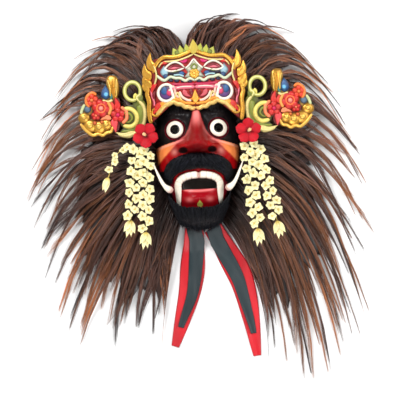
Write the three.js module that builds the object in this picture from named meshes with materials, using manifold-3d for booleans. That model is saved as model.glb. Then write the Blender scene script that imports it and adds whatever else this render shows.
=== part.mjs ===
// Barong dance mask, lying on its back: a carved and painted wooden face with a hollow back, a leather
// tiara and two leather ear wings, silk hibiscus, jasmine garlands, a two-part mane, and cloth beard
// ribbons. Millimetres. +X is the right side as the face is looked at, +Y runs from chin to crown, and
// +Z points out of the face. Everything is laid out round the axis of the face, on the plane z = 0
// that the mask lies on, and the last lines move the origin to the bottom centre of the whole.
import * as THREE from "three";
import { mergeVertices } from "three/addons/utils/BufferGeometryUtils.js";
import Module from "manifold-3d";

const wasm = await Module();
wasm.setup();

// ---- driving dimensions -------------------------------------------------------------------------
const GAP = 0.3; // air between two pieces that touch
const FACE = { centreY: 24, half: 77, up: 111, down: 142, depth: 100, wall: 10 };
const EYE = { x: 38, y: 53, radius: 16, rise: 13, hole: 6.5 };
const NOSE = { topY: 88, tipY: 30, endY: 13, narrow: 7, wide: 21, height: 46 };
const THROAT = { half: 30, topY: -33, floorY: -52, corner: 8 };
const TEETH = { half: 37, archY: -27, turnY: -48, tipY: -84, width: 11, rise: 8 };
const TUSK = { foot: [48, -57, 88], bend: [61, -40, 92], tip: [79, -6, 84], radius: 6.5 };
const MOUSTACHE = { half: 54, topY: 11, cornerY: -36, width: 27, rise: 15 };
const BEARD = { half: 55, topY: -84, bottomY: -124, horn: 26, rise: 13, floor: 17.5 };
const CROWN = { bend: 140, z: 90, lean: 0.14, plate: 5, rim: 4, panel: 3 };
const WING = { rootX: 89, fall: 0.12, plate: 5, boss: 5 };
const HIBISCUS = { x: 90, y: 46, z: 74, radius: 21, petals: 5, height: 13 };
const BUD = { radius: 8.5, pitch: 15.5 };
const MANE = { root: 50, edge: 7, locks: 11, ridge: 3.5, notch: 0.13 };
const RIBBON = { rows: 12, red: 2.4, black: 2, startZ: 12.5 };

const COLOURS = {
  face: ["#b01c1c", 0.35],
  ivory: ["#f6ead2", 0.35],
  fur: ["#16161a", 0.85],
  crown: ["#dca746", 0.4],
  wing: ["#c8a040", 0.45],
  hibiscus: ["#c8102a", 0.7],
  jasmine: ["#f4e8b4", 0.7],
  mane: ["#5c3a2a", 0.8],
  redCloth: ["#cf2a33", 0.8],
  blackCloth: ["#2c3336", 0.8],
};

// ---- solids -------------------------------------------------------------------------------------
/** A closed three.js geometry as a solid, whichever way round its faces run. */
function solid(geometry) {
  const flat = geometry.index ? geometry.toNonIndexed() : geometry;
  const bare = new THREE.BufferGeometry().setAttribute("position", flat.getAttribute("position"));
  const merged = mergeVertices(bare, 1e-3);
  const corners = [];
  for (let i = 0; i < merged.index.count; i += 3) {
    const [a, b, c] = [0, 1, 2].map((k) => merged.index.getX(i + k));
    if (a !== b && b !== c && c !== a) corners.push(a, b, c);
  }
  const made = (order) =>
    new wasm.Manifold(
      new wasm.Mesh({
        numProp: 3,
        vertProperties: merged.attributes.position.array,
        triVerts: new Uint32Array(order),
      }),
    );
  const first = made(corners);
  if (first.volume() > 0) return first;
  for (let i = 0; i < corners.length; i += 3)
    [corners[i + 1], corners[i + 2]] = [corners[i + 2], corners[i + 1]];
  return made(corners);
}

/** The solid's geometry, with only its largest body. */
function geometryOf(body) {
  const largest = body.decompose().reduce((a, b) => (a.volume() > b.volume() ? a : b));
  const mesh = largest.getMesh();
  const places = new Float32Array(mesh.numVert * 3);
  for (let i = 0; i < mesh.numVert; i++)
    places.set(mesh.vertProperties.subarray(i * mesh.numProp, i * mesh.numProp + 3), i * 3);
  const geometry = new THREE.BufferGeometry();
  geometry.setAttribute("position", new THREE.BufferAttribute(places, 3));
  geometry.setIndex(new THREE.BufferAttribute(mesh.triVerts, 1));
  geometry.computeVertexNormals();
  return geometry;
}

const joined = (bodies) => bodies.reduce((a, b) => a.add(b));

const cut = (body, ...others) => others.reduce((left, other) => left.subtract(other), body);

/** A block of columns by rows by one, each corner moved to place(u, v, top), with u and v from 0 to 1. */
function quilt(columns, rows, place) {
  const geometry = new THREE.BoxGeometry(1, 1, 1, columns, rows, 1);
  const at = geometry.getAttribute("position");
  for (let i = 0; i < at.count; i++) {
    const [u, v] = [at.getX(i) + 0.5, at.getY(i) + 0.5];
    at.setXYZ(i, ...place(u, v, at.getZ(i) > 0));
  }
  return solid(geometry);
}

/** A round bar along a curve, with radius(t) at each place t from 0 to 1. */
function bar(curve, radius, sides, steps) {
  const geometry = new THREE.CylinderGeometry(1, 1, 1, sides, steps);
  const at = geometry.getAttribute("position");
  for (let i = 0; i < at.count; i++) {
    const t = at.getY(i) + 0.5;
    const along = curve.getTangentAt(t);
    const across = new THREE.Vector3().crossVectors(along, new THREE.Vector3(0, 0, 1)).normalize();
    const up = new THREE.Vector3().crossVectors(across, along);
    const spot = curve.getPointAt(t);
    spot.addScaledVector(across, at.getX(i) * radius(t)).addScaledVector(up, at.getZ(i) * radius(t));
    at.setXYZ(i, spot.x, spot.y, spot.z);
  }
  return solid(geometry);
}

/** An outline run straight along Z from low to high. */
function prism(shape, low, high, curveSegments = 5) {
  const geometry = new THREE.ExtrudeGeometry(shape, {
    depth: high - low,
    bevelEnabled: false,
    curveSegments,
  });
  return solid(geometry.translate(0, 0, low));
}

const disc = (x, y, radius, sides = 14) => {
  const geometry = new THREE.CylinderGeometry(radius, radius, 400, sides);
  return solid(geometry.rotateX(Math.PI / 2).translate(x, y, 0));
};

const oval = (x, y, halfWidth, halfHeight, turn = 0, sides = 14) => {
  const geometry = new THREE.CylinderGeometry(1, 1, 400, sides);
  geometry.rotateX(Math.PI / 2).scale(halfWidth, halfHeight, 1).rotateZ(turn);
  return solid(geometry.translate(x, y, 0));
};

const flatCurve = (points) => new THREE.CatmullRomCurve3(points.map(([x, y]) => new THREE.Vector3(x, y, 0)));
const curve3 = (points) => new THREE.CatmullRomCurve3(points.map((p) => new THREE.Vector3(...p)));
const swell = (x, y, cx, cy, rx, ry) => Math.exp(-(((x - cx) / rx) ** 2) - ((y - cy) / ry) ** 2);
const mix = THREE.MathUtils.lerp;
/** A smooth step from 0 at from to 1 at to, which may be the smaller of the two. */
function step(from, to, t) {
  const part = THREE.MathUtils.clamp((t - from) / (to - from), 0, 1);
  return part ** 2 * (3 - 2 * part);
}

// ---- the face -----------------------------------------------------------------------------------
const SQUARE = 2.25; // how square the egg outline is: 2 is an ellipse

/** How far out (x, y) is on the egg outline grown by more: 0 in the middle and 1 on the rim. */
function outness(x, y, more = 0) {
  const jaw = 1 - 0.16 * step(0, -FACE.down, y - FACE.centreY);
  const tall = y > FACE.centreY ? FACE.up : FACE.down;
  const across = Math.abs(x) / (FACE.half * jaw + more);
  const along = Math.abs(y - FACE.centreY) / (tall + more);
  return (across ** SQUARE + along ** SQUARE) ** (1 / SQUARE);
}

/** The smooth dome under the carving, at how far out. */
const dome = (out) => FACE.depth * Math.max(0, 1 - out ** 2.6) ** 0.5;

/** The nose: a ridge that widens and rises from the brows to a round tip, with a nostril each side. */
function noseRise(x, y) {
  const down = THREE.MathUtils.clamp((NOSE.topY - y) / (NOSE.topY - NOSE.tipY), 0, 1);
  const under = step(NOSE.endY - 5, NOSE.tipY - 4, y);
  const half = mix(NOSE.narrow, NOSE.wide, down ** 1.3);
  const ridge = mix(5, NOSE.height, down ** 1.2) * under * Math.exp(-((Math.abs(x) / half) ** 2.4));
  const above = step(NOSE.topY + 12, NOSE.topY - 12, y);
  return ridge * above + 17 * swell(Math.abs(x), y, 25, 21, 9, 9);
}

/** How far an eyeball stands out of its socket. */
function eyeRise(x, y) {
  const away = Math.hypot(Math.abs(x) - EYE.x, y - EYE.y) / EYE.radius;
  return away < 1 ? EYE.rise * Math.sqrt(1 - away ** 2) : 0;
}

/** The carving on the dome: brows, sockets, cheeks, lips, the sunk mouth, tongue and chin. */
function carving(x, y) {
  const side = Math.abs(x);
  const sockets = -7 * swell(side, y, EYE.x, EYE.y, 25, 21) + 8 * swell(side, y, 40, 79, 26, 9);
  const cheeks = 9 * swell(side, y, 58, 10, 14, 16) + 8 * swell(side, y, 42, 24, 18, 7);
  const lips = 5 * swell(side, y, 0, -6, 56, 14) + 5 * swell(side, y, 46, -48, 9, 26);
  const mouth = -9 * swell(side, y, 0, -46, 34, 20) + 10 * swell(side, y, 0, -67, 25, 12);
  const chin = 7 * swell(side, y, 0, -100, 34, 14);
  return noseRise(x, y) + eyeRise(x, y) + sockets + cheeks + lips + mouth + chin;
}

/** Where the point (rx, ry) of the unit circle lands on the egg grown by reach. */
function eggPlace(rx, ry, reach) {
  const out = Math.hypot(rx, ry);
  let scale = FACE.half;
  for (let turn = 0; turn < 12 && out > 0; turn++)
    scale *= out / outness(rx * scale, ry * scale + FACE.centreY, reach);
  return [rx * scale, ry * scale + FACE.centreY];
}

/** A dome of rings on the egg outline grown by reach, closed flat at base. */
function egg(rings, around, reach, height, base) {
  const profile = [];
  for (let i = 0; i <= rings; i++) profile.push(new THREE.Vector2(Math.sin((i / rings) * Math.PI / 2), i));
  const geometry = new THREE.LatheGeometry([...profile, new THREE.Vector2(0, rings + 1)], around);
  const at = geometry.getAttribute("position");
  for (let i = 0; i < at.count; i++) {
    const [rx, ring, rz] = [at.getX(i), at.getY(i), at.getZ(i)];
    const out = Math.hypot(rx, rz);
    const [x, y] = eggPlace(rx, rz, reach);
    at.setXYZ(i, x, y, ring >= rings ? base : height(x, y, out));
  }
  return solid(geometry);
}

/** The carved block before it is hollowed, grown all round by more. */
function faceBlock(more = 0) {
  const height = (x, y) => {
    const out = outness(x, y, more);
    return dome(out) + carving(x, y) * step(1, 0.88, out) + more;
  };
  return egg(16, 38, more, height, 0);
}

/** The hollow that the wearer's face goes into. */
function faceHollow() {
  const shrink = (FACE.depth - FACE.wall) / FACE.depth;
  const nose = (x, y) => 14 * swell(x, y, 0, 35, 16, 30);
  return egg(6, 20, -FACE.wall, (x, y, out) => dome(out) * shrink + nose(x, y) * step(1, 0.8, out), -2);
}

function throat() {
  const shape = new THREE.Shape();
  shape.moveTo(-THROAT.half, THROAT.floorY);
  shape.lineTo(THROAT.half, THROAT.floorY);
  shape.lineTo(THROAT.half, THROAT.topY - THROAT.corner);
  shape.quadraticCurveTo(0, THROAT.topY + THROAT.corner, -THROAT.half, THROAT.topY - THROAT.corner);
  return prism(shape, 40, 200, 6);
}

const peephole = (side) => disc(side * EYE.x, EYE.y, EYE.hole, 12);
const face = () => cut(faceBlock(), faceHollow(), peephole(-1), peephole(1), throat());

// ---- teeth, tusks, moustache and beard ------------------------------------------------------------
/** The middle line of the upper teeth, from one fang's tip over the arch to the other's, t from 0 to 1. */
function archPlace(t) {
  const fang = TEETH.turnY - TEETH.tipY;
  const side = t < 0.5 ? -1 : 1;
  const down = Math.max(0, Math.abs(t - 0.5) * 2 - 0.6) / 0.4;
  if (down > 0) return [side * TEETH.half, TEETH.turnY - down * fang, down];
  const angle = ((t - 0.5) / 0.3) * (Math.PI / 2);
  const rise = (TEETH.archY - TEETH.turnY) * Math.abs(Math.cos(angle)) ** 0.75;
  return [TEETH.half * Math.sign(angle) * Math.abs(Math.sin(angle)) ** 0.85, TEETH.turnY + rise, 0];
}

/** Upper teeth carved as one arch, with a fang hanging at each end. */
function upperTeeth(more = 0) {
  return quilt(18, 2, (u, v, top) => {
    const [x, y, down] = archPlace(u);
    const [ax, ay] = archPlace(Math.max(0, u - 0.02));
    const [bx, by] = archPlace(Math.min(1, u + 0.02));
    const length = Math.hypot(bx - ax, by - ay);
    const half = (TEETH.width / 2) * (1 - 0.62 * down ** 1.5) + more;
    const shift = (v - 0.5) * 2 * half;
    const [px, py] = [x - ((by - ay) / length) * shift, y + ((bx - ax) / length) * shift];
    const crest = TEETH.rise * (1 - 0.45 * Math.abs(v - 0.5) * 2) + more;
    const shelf = dome(outness(px, py));
    return [px, py, top ? shelf + crest : shelf - 12];
  });
}

/** A boar's tusk that rises from the corner of the mouth. */
function tusk(side, more = 0) {
  const points = [TUSK.foot, TUSK.bend, TUSK.tip].map(([x, y, z]) => [side * x, y, z]);
  return bar(curve3(points), (t) => TUSK.radius * (1 - 0.85 * t ** 1.4) + more, 6, 7);
}

/** A thick moustache bent in an arch over the upper lip. */
function moustache() {
  return quilt(11, 2, (u, v, top) => {
    const angle = (u - 0.5) * Math.PI;
    const [sin, cos] = [Math.sin(angle), Math.max(0, Math.cos(angle))];
    const taper = 0.45 + 0.55 * cos ** 0.5;
    const x = sin * (MOUSTACHE.half + (v - 0.5) * 14);
    const middle = mix(MOUSTACHE.cornerY, MOUSTACHE.topY - MOUSTACHE.width / 2, cos ** 0.8);
    const y = middle + (v - 0.5) * MOUSTACHE.width * taper;
    const skin = dome(outness(x, y));
    const round = Math.sqrt(Math.max(0, 1 - (1.9 * (v - 0.5)) ** 2));
    return [x, y, top ? skin + 3 + MOUSTACHE.rise * round * taper : skin - 8];
  });
}

/** The place on the beard's outline grown by more: side runs from -1 to 1 and v from top to bottom. */
function beardPlace(side, v, more = 0) {
  const x = side * (BEARD.half * (1 - 0.28 * v ** 1.6) + more);
  const top = BEARD.topY + 2 * more + BEARD.horn * side ** 4;
  return [x, mix(top, BEARD.bottomY - more, v) + 14 * v * side ** 2];
}

/** A short beard over the chin, hanging past its lower edge. */
function beard() {
  return quilt(12, 3, (u, v, top) => {
    const side = 2 * u - 1;
    const [x, y] = beardPlace(side, v);
    const skin = mix(dome(outness(x, y, 9)), 30, step(0.55, 1, v));
    const high = skin + BEARD.rise * (1 - 0.35 * side ** 2);
    return [x, y, top ? high : Math.min(BEARD.floor, skin - 12)];
  });
}

/** The room that the mane leaves round the beard. */
function beardRoom() {
  return quilt(12, 2, (u, v, top) => [...beardPlace(2 * u - 1, v, 3), top ? 120 : -40]);
}

// ---- tiara and wings ------------------------------------------------------------------------------
/** How high the tiara's back face stands at (x, y): it bends back to the sides and leans forward. */
const crownBack = (x, y) => CROWN.z + CROWN.lean * (y - 90) - x ** 2 / (2 * CROWN.bend);

/** How high a wing's back face stands: it starts under the tiara's edge and falls away outwards. */
const wingBack = (x, y) =>
  crownBack(WING.rootX, y) - WING.plate - GAP - WING.fall * (Math.abs(x) - WING.rootX);

/** A leather sheet over the given width and height, from low to high above its back face. */
function sheet(columns, back, [left, right], [bottom, top], low, high) {
  return quilt(columns, 1, (u, v, upper) => {
    const [x, y] = [mix(left, right, u), mix(bottom, top, v)];
    return [x, y, back(x, y) + (upper ? high : low)];
  });
}

/** A closed outline, mirrored in X, whose edge bulges out between the given knots of its right half. */
function scalloped(knots, bulge) {
  const left = knots.slice(0, -1).reverse().map(([x, y]) => [-x, y]);
  const ring = [...knots, ...left.slice(0, -1)];
  const shape = new THREE.Shape();
  shape.moveTo(...ring[0]);
  ring.forEach(([x, y], i) => {
    const [nx, ny] = ring[(i + 1) % ring.length];
    const [mx, my] = [(x + nx) / 2, (y + ny) / 2];
    shape.quadraticCurveTo(mx + (ny - y) * bulge, my - (nx - x) * bulge, nx, ny);
  });
  return shape;
}

const CROWN_KNOTS = [
  [0, 84], [24, 91], [50, 90], [64, 74], [83, 62], [86, 84], [80, 100], [84, 118],
  [78, 128], [88, 146], [80, 164], [70, 182], [58, 172], [38, 178], [16, 186], [0, 200],
];

/** The tiara: a scalloped plate with a raised rim, a raised field, a star and two big scrolls. */
function crown() {
  const layer = (low, high) => sheet(6, crownBack, [-100, 100], [40, 220], low, high);
  const outline = (knots, segments) => prism(scalloped(knots, 0.22), 0, 200, segments);
  const inner = CROWN_KNOTS.map(([x, y]) => [x * 0.84, mix(132, y, 0.84)]);
  const field = [[0, 98], [48, 98], [72, 112], [66, 130], [70, 148], [60, 164], [36, 168], [0, 182]];
  const whole = outline(CROWN_KNOTS, 2);
  const plate = layer(0, CROWN.plate).intersect(whole);
  const rim = layer(1, CROWN.plate + CROWN.rim).intersect(whole.subtract(outline(inner, 1)));
  const panel = layer(1, CROWN.plate + CROWN.panel).intersect(outline(field, 1));
  const scroll = (side) => disc(side * 50, 116, 15).subtract(disc(side * 50, 116, 8, 10));
  const bosses = joined([scroll(-1), scroll(1), disc(0, 150, 15, 4), oval(0, 122, 26, 7)]);
  const relief = layer(1, CROWN.plate + CROWN.panel + 4).intersect(bosses);
  return joined([plate, rim, panel, relief]);
}

/** One ear wing: scrolls, a petal, flowers and curls cut from one sheet, with the larger ones raised. */
function wing(side) {
  const at = (x) => side * x;
  const parts = [
    disc(at(109), 125, 17, 12),
    disc(at(112), 78, 24, 12),
    oval(at(143), 132, 11, 20, 0, 10),
    disc(at(156), 119, 9, 8),
    disc(at(163), 97, 18, 10),
    disc(at(181), 112, 10, 8),
    disc(at(136), 84, 16, 8),
    disc(at(177), 80, 9, 8),
    disc(at(195), 82, 10, 8),
    disc(at(182), 64, 14, 10),
    disc(at(161), 58, 12, 8),
    oval(at(120), 52, 24, 8, side * -0.15, 10),
    oval(at(101), 104, 11, 16, side * 0.2, 8),
  ];
  const raised = [
    disc(at(163), 97, 13, 8),
    disc(at(136), 84, 9, 8),
    disc(at(182), 64, 8, 8),
    disc(at(112), 78, 20, 10).subtract(disc(at(118), 78, 14, 8)),
    oval(at(143), 132, 6, 14, 0, 8),
  ];
  const layer = (high) => sheet(1, wingBack, [side * 80, side * 220], [20, 180], 0, high);
  const loop = disc(at(109), 125, 9.5, 10);
  const body = layer(WING.plate).intersect(joined(parts));
  return body.add(layer(WING.plate + WING.boss).intersect(joined(raised))).subtract(loop);
}

// ---- flowers --------------------------------------------------------------------------------------
/** A silk hibiscus: notched petals dished round a raised stamen. */
function hibiscus(side) {
  return quilt(HIBISCUS.petals * 4, 1, (u, v, top) => {
    const angle = u * Math.PI * 2;
    const petal = Math.abs(Math.cos((angle * HIBISCUS.petals) / 2)) ** 0.6;
    const reach = HIBISCUS.radius * (0.62 + 0.38 * petal);
    const out = mix(0.06, 1, v) * reach;
    const dish = 5 * v ** 2 + 6 * Math.exp(-((v / 0.25) ** 2));
    const z = HIBISCUS.z + (top ? HIBISCUS.height - 6 + dish : 4 * v);
    return [side * HIBISCUS.x + out * Math.cos(angle), HIBISCUS.y + out * Math.sin(angle), z];
  });
}

/** A string of jasmine, swelling at each flower and ending in a long bud. */
function garland(points) {
  const line = curve3(points);
  const flowers = Math.round(line.getLength() / BUD.pitch);
  return bar(
    line,
    (t) => {
      const bead = Math.abs(Math.sin(t * Math.PI * flowers)) ** 0.7;
      return BUD.radius * (0.62 + 0.38 * bead) * (t > 0.97 ? 0.5 : 1);
    },
    5,
    flowers * 2,
  );
}

const GARLANDS = {
  garland_left_outer: [[-106, 24, 64], [-112, -10, 62], [-117, -50, 60], [-121, -85, 57], [-125, -112, 54]],
  garland_left_inner: [[-88, 20, 65], [-91, -30, 64], [-95, -75, 61], [-96, -105, 58], [-98, -134, 55]],
  garland_left_sprig: [[-120, 26, 62], [-138, 20, 59], [-150, 4, 56], [-157, -16, 54], [-165, -38, 52]],
  garland_right_outer: [[104, 24, 64], [113, -20, 62], [122, -52, 60], [129, -85, 57], [137, -124, 53]],
  garland_right_inner: [[87, 20, 65], [90, -30, 64], [93, -66, 61], [98, -100, 58], [101, -136, 55]],
};

// ---- mane -----------------------------------------------------------------------------------------
// Three guide lines each side: where the hair is tied, where it bends over, and where it ends.
const MANE_BENDS = [
  [28, 205], [60, 232], [132, 212], [182, 146], [203, 66], [198, -34], [176, -124], [142, -196],
];
const MANE_GUIDES = {
  left: {
    bends: [...MANE_BENDS, [66, -220]],
    tips: [
      [14, 229], [139, 252], [204, 199], [257, 126], [301, 33],
      [294, -67], [271, -199], [214, -321], [80, -328],
    ],
  },
  right: {
    bends: [...MANE_BENDS, [122, -220]],
    tips: [
      [32, 231], [106, 258], [208, 186], [249, 69], [304, -43],
      [287, -188], [278, -333], [218, -402], [110, -352],
    ],
  },
};

/** Where the hair is tied: round the rim of the face, from near its top to beside the beard. */
function maneRoot(v) {
  const angle = mix(0.05, 2.62, v);
  const [x, y] = [Math.sin(angle), Math.cos(angle)];
  const scale = 0.8 / outness(x, y + FACE.centreY);
  return new THREE.Vector3(x * scale, y * scale + FACE.centreY, 0);
}

/** One half of the mane: locks that leave the rim, bend over and lie out along the ground. */
function mane(side) {
  const guides = side < 0 ? MANE_GUIDES.left : MANE_GUIDES.right;
  const bends = flatCurve(guides.bends);
  const tips = flatCurve(guides.tips);
  return quilt(4, MANE.locks * 4, (u, v, top) => {
    const valley = 0.5 - 0.5 * Math.cos(v * Math.PI * 2 * MANE.locks);
    const reach = u * (1 - MANE.notch * valley * u);
    const path = new THREE.QuadraticBezierCurve3(maneRoot(v), bends.getPoint(v), tips.getPoint(v));
    const spot = path.getPoint(reach);
    const fall = MANE.edge + (MANE.root - MANE.edge) * (1 - reach ** 1.25);
    const ridge = MANE.ridge * (1 - 2 * valley) * Math.min(1, 4 * u);
    return [side * spot.x, spot.y, top ? fall + ridge : 0];
  });
}

// ---- beard ribbons --------------------------------------------------------------------------------
/** A strip along a line on the ground that starts raised, from low to high above the line's own height. */
function strip(points, width, low, high, rows = RIBBON.rows) {
  const line = flatCurve(points);
  return quilt(1, rows, (u, v, top) => {
    const t = (v * rows) / RIBBON.rows;
    const spot = line.getPointAt(t);
    const along = line.getTangentAt(t);
    const half = (u - 0.5) * width(t);
    const lift = RIBBON.startZ * step(0.22, 0, t);
    return [spot.x + along.y * half, spot.y - along.x * half, lift + (top ? high : low)];
  });
}

const RIBBONS = {
  left: [[-12, -122], [-16, -170], [-24, -230], [-40, -285], [-56, -335]],
  right: [[21, -122], [44, -165], [70, -220], [84, -290], [92, -358]],
};
const redWidth = (v) => mix(30, 50, step(0, 0.4, v)) * (1 - 0.72 * v ** 2);
const blackWidth = (v) => 28 * (1 - 0.9 * v ** 2);
const redRibbon = (line) => strip(line, redWidth, 0, RIBBON.red);
const blackRibbon = (line) =>
  strip(line, blackWidth, RIBBON.red + GAP, RIBBON.red + GAP + RIBBON.black, RIBBON.rows - 2);
/** The room that the mane leaves over a ribbon. */
const ribbonRoom = (line) => strip(line, (v) => redWidth(v) + 4 * GAP, -40, 90);

// ---- assembly -------------------------------------------------------------------------------------
const SIDES = { left: -1, right: 1 };
const mask = new THREE.Group();

function add(name, body, finish) {
  const [color, roughness] = COLOURS[finish];
  const material = new THREE.MeshStandardMaterial({ color, roughness, metalness: 0 });
  const mesh = new THREE.Mesh(geometryOf(body), material);
  mesh.name = name;
  mask.add(mesh);
}

const faceRoom = faceBlock(GAP);
const teethRoom = upperTeeth(GAP);
const tusksRoom = tusk(-1, GAP).add(tusk(1, GAP));
const ribbonsRoom = ribbonRoom(RIBBONS.left).add(ribbonRoom(RIBBONS.right));

add("face", face(), "face");
add("upper_teeth", cut(upperTeeth(), faceRoom), "ivory");
add("moustache", cut(moustache(), faceRoom, teethRoom, tusksRoom), "fur");
add("beard", cut(beard(), faceRoom, teethRoom), "fur");
add("crown", cut(crown(), faceRoom), "crown");
for (const [name, side] of Object.entries(SIDES)) {
  add(`tusk_${name}`, cut(tusk(side), faceRoom, teethRoom), "ivory");
  add(`wing_${name}`, wing(side), "wing");
  add(`hibiscus_${name}`, hibiscus(side), "hibiscus");
  add(`ribbon_${name}_red`, redRibbon(RIBBONS[name]), "redCloth");
  add(`ribbon_${name}_black`, blackRibbon(RIBBONS[name]), "blackCloth");
  add(`mane_${name}`, cut(mane(side), faceRoom, ribbonsRoom, beardRoom()), "mane");
}
for (const [name, points] of Object.entries(GARLANDS)) add(name, garland(points), "jasmine");

const bounds = new THREE.Box3().setFromObject(mask);
const middle = bounds.getCenter(new THREE.Vector3());
mask.position.set(-middle.x, -middle.y, -bounds.min.z);

export default mask;
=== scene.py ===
"""Barong dance mask, lying on its back on a plain floor: a carved and painted face under a painted leather
tiara and two ear wings, with silk hibiscus, jasmine strings, a two-part mane and satin beard ribbons.

Shapes are worked out in millimetres on the mask's own axes: +X is the right side as the face is looked at,
+Y runs from chin to crown and +Z points out of the face. The origin of those axes is found from the frame."""

import math

import bmesh
import bpy
import numpy as np
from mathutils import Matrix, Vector


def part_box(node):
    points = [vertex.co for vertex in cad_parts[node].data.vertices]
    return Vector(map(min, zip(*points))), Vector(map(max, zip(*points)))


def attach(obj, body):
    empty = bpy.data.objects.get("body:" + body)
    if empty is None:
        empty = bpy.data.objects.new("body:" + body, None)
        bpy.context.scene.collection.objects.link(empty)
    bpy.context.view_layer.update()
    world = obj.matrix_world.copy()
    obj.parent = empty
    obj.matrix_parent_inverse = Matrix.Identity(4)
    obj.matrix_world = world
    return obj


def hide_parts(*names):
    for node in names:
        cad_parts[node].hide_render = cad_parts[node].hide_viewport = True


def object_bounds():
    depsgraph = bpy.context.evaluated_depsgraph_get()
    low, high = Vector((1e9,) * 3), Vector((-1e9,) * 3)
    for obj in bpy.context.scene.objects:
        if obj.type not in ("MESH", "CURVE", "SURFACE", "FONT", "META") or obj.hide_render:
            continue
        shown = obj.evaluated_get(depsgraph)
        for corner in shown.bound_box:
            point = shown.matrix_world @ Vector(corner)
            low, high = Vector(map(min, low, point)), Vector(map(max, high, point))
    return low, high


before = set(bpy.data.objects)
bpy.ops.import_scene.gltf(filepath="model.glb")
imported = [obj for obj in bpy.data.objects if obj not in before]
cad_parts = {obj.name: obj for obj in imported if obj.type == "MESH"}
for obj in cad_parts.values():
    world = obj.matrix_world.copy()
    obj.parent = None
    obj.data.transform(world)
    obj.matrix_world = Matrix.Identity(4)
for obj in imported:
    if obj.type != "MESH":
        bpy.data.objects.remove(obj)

bl_info = {
    "name": "Barong Mask",
    "version": (1, 0, 0),
    "blender": (4, 5, 0),
    "location": "View3D > Sidebar > Barong Mask",
    "description": "Dresses the frame of a barong mask with its carving, paint, leather, flowers and hair",
    "category": "Object",
}

CAD_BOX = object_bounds()
MM = 1000  # millimetres in a metre

# ---- where the mask's own axes are in the frame ----
FACE_LOW, FACE_HIGH = (np.array(corner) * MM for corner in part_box("face"))
FACE_CENTRE_Y = 24.0
FACE_HALF = (FACE_HIGH[0] - FACE_LOW[0]) / 2
FACE_UP = 111.0
FACE_DOWN = (FACE_HIGH[1] - FACE_LOW[1]) - FACE_UP
SHIFT = np.array([(FACE_LOW[0] + FACE_HIGH[0]) / 2, FACE_HIGH[1] - FACE_UP - FACE_CENTRE_Y, 0.0])
FACE_DEPTH, FACE_WALL = 100.0, 10.0
SIDES = {"left": -1, "right": 1}


def linear(red, green, blue):
    """A colour given from 0 to 255, as the light that it gives back."""
    eye = np.array([red, green, blue], float) / 255
    return tuple(np.where(eye <= 0.04045, eye / 12.92, ((eye + 0.055) / 1.055) ** 2.4))


def colour_box(name, description, red, green, blue):
    """A colour setting, with its default given from 0 to 255."""
    return bpy.props.FloatVectorProperty(
        name=name, description=description, subtype="COLOR", size=3, min=0, max=1,
        default=linear(red, green, blue),
    )


class BarongPaints(bpy.types.PropertyGroup):
    """Colours of the carving, the leather and the flowers"""

    red: colour_box("Face red", "Lacquer of the face", 164, 4, 10)
    # the nose rose is the colour of the painted highlights on the nose, below the lids and on the tongue, and
    # is stirred into the cheek streaks too
    rose: colour_box("Nose rose", "Light paint down the ridge of the nose", 255, 142, 138)
    orange: colour_box("Cheek orange", "Streak below each eye", 246, 138, 72)
    black: colour_box("Face black", "Patches round the eyes, the jaw and the pupils", 14, 10, 13)
    maroon: colour_box("Maroon", "Thin line round each eye and each fang", 96, 4, 20)
    ivory: colour_box("Ivory", "Teeth, tusks and the whites of the eyes", 250, 240, 222)
    tongue: colour_box("Tongue", "Tongue and lower lip", 150, 0, 16)
    gold: colour_box("Gold", "Gilding of the tiara and the wings", 228, 168, 62)
    cream: colour_box("Cream", "Pale scrolls of the wings and borders of the tiara", 232, 214, 140)
    leaf: colour_box("Leaf green", "Scroll leaves of the wings", 128, 138, 52)
    sky: colour_box("Sky blue", "Lozenges of the tiara", 160, 196, 208)
    blue: colour_box("Blue", "Drops of the wings and the tiara", 44, 92, 146)
    navy: colour_box("Navy", "Dark cells of the tiara", 36, 38, 66)
    pink: colour_box("Pink", "Bands and scallops of the tiara", 238, 118, 136)
    scarlet: colour_box("Scarlet", "Rosettes of the wings and fields of the tiara", 206, 36, 32)
    hibiscus: colour_box("Hibiscus", "Silk of the two large flowers", 190, 6, 28)
    jasmine: colour_box("Jasmine", "Silk of the strung flowers", 250, 238, 182)


class BarongHair(bpy.types.PropertyGroup):
    """Colours and amounts of the mane, the moustache, the beard and the ribbons"""

    # the root colour is painted shade, deep in the mane where it is tied
    root: colour_box("Root", "Mane where it is tied", 48, 31, 27)
    middle: colour_box("Middle", "Mane half way out", 100, 66, 55)
    tan: colour_box("Tan", "Sunned locks of the mane", 186, 116, 68)
    tip: colour_box("Tip", "Ends of the dark locks", 66, 41, 36)
    fur: colour_box("Fur", "Moustache and beard", 15, 16, 21)
    satin_red: colour_box("Red satin", "Wide ribbon under the beard", 204, 28, 40)
    satin_black: colour_box("Black satin", "Narrow ribbon on the red one", 40, 52, 56)
    locks: bpy.props.IntProperty(
        name="Locks", description="Locks in each half of the mane", default=400, min=50
    )
    strands: bpy.props.IntProperty(
        name="Strands", description="Strands in each lock", default=17, min=3
    )
    strand_width: bpy.props.FloatProperty(
        name="Strand width", description="Width of a bundle of mane hairs at its root", default=0.0020,
        min=0.0002, unit="LENGTH", subtype="DISTANCE",
    )
    seed: bpy.props.IntProperty(name="Seed", description="Another lie of the hair", default=7)


# ---- arithmetic shared by the shapes ----
TINY = 1e-9  # keeps a line that stands still from being divided by nothing


def between(start, end, part):
    """The value at the given part of the way from start to end."""
    return start + (end - start) * part


def ease(start, end, value):
    """A smooth step from 0 at start to 1 at end, which may be the smaller of the two."""
    part = np.clip((value - start) / (end - start), 0, 1)
    return part**2 * (3 - 2 * part)


def swell(x, y, centre_x, centre_y, reach_x, reach_y):
    """A rounded hump of height 1 over a place."""
    return np.exp(-(((x - centre_x) / reach_x) ** 2) - ((y - centre_y) / reach_y) ** 2)


def ridge(value, centre, reach):
    """A rounded ridge of height 1 along the line where the value is at its centre."""
    return np.exp(-(((value - centre) / reach) ** 2))


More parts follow.
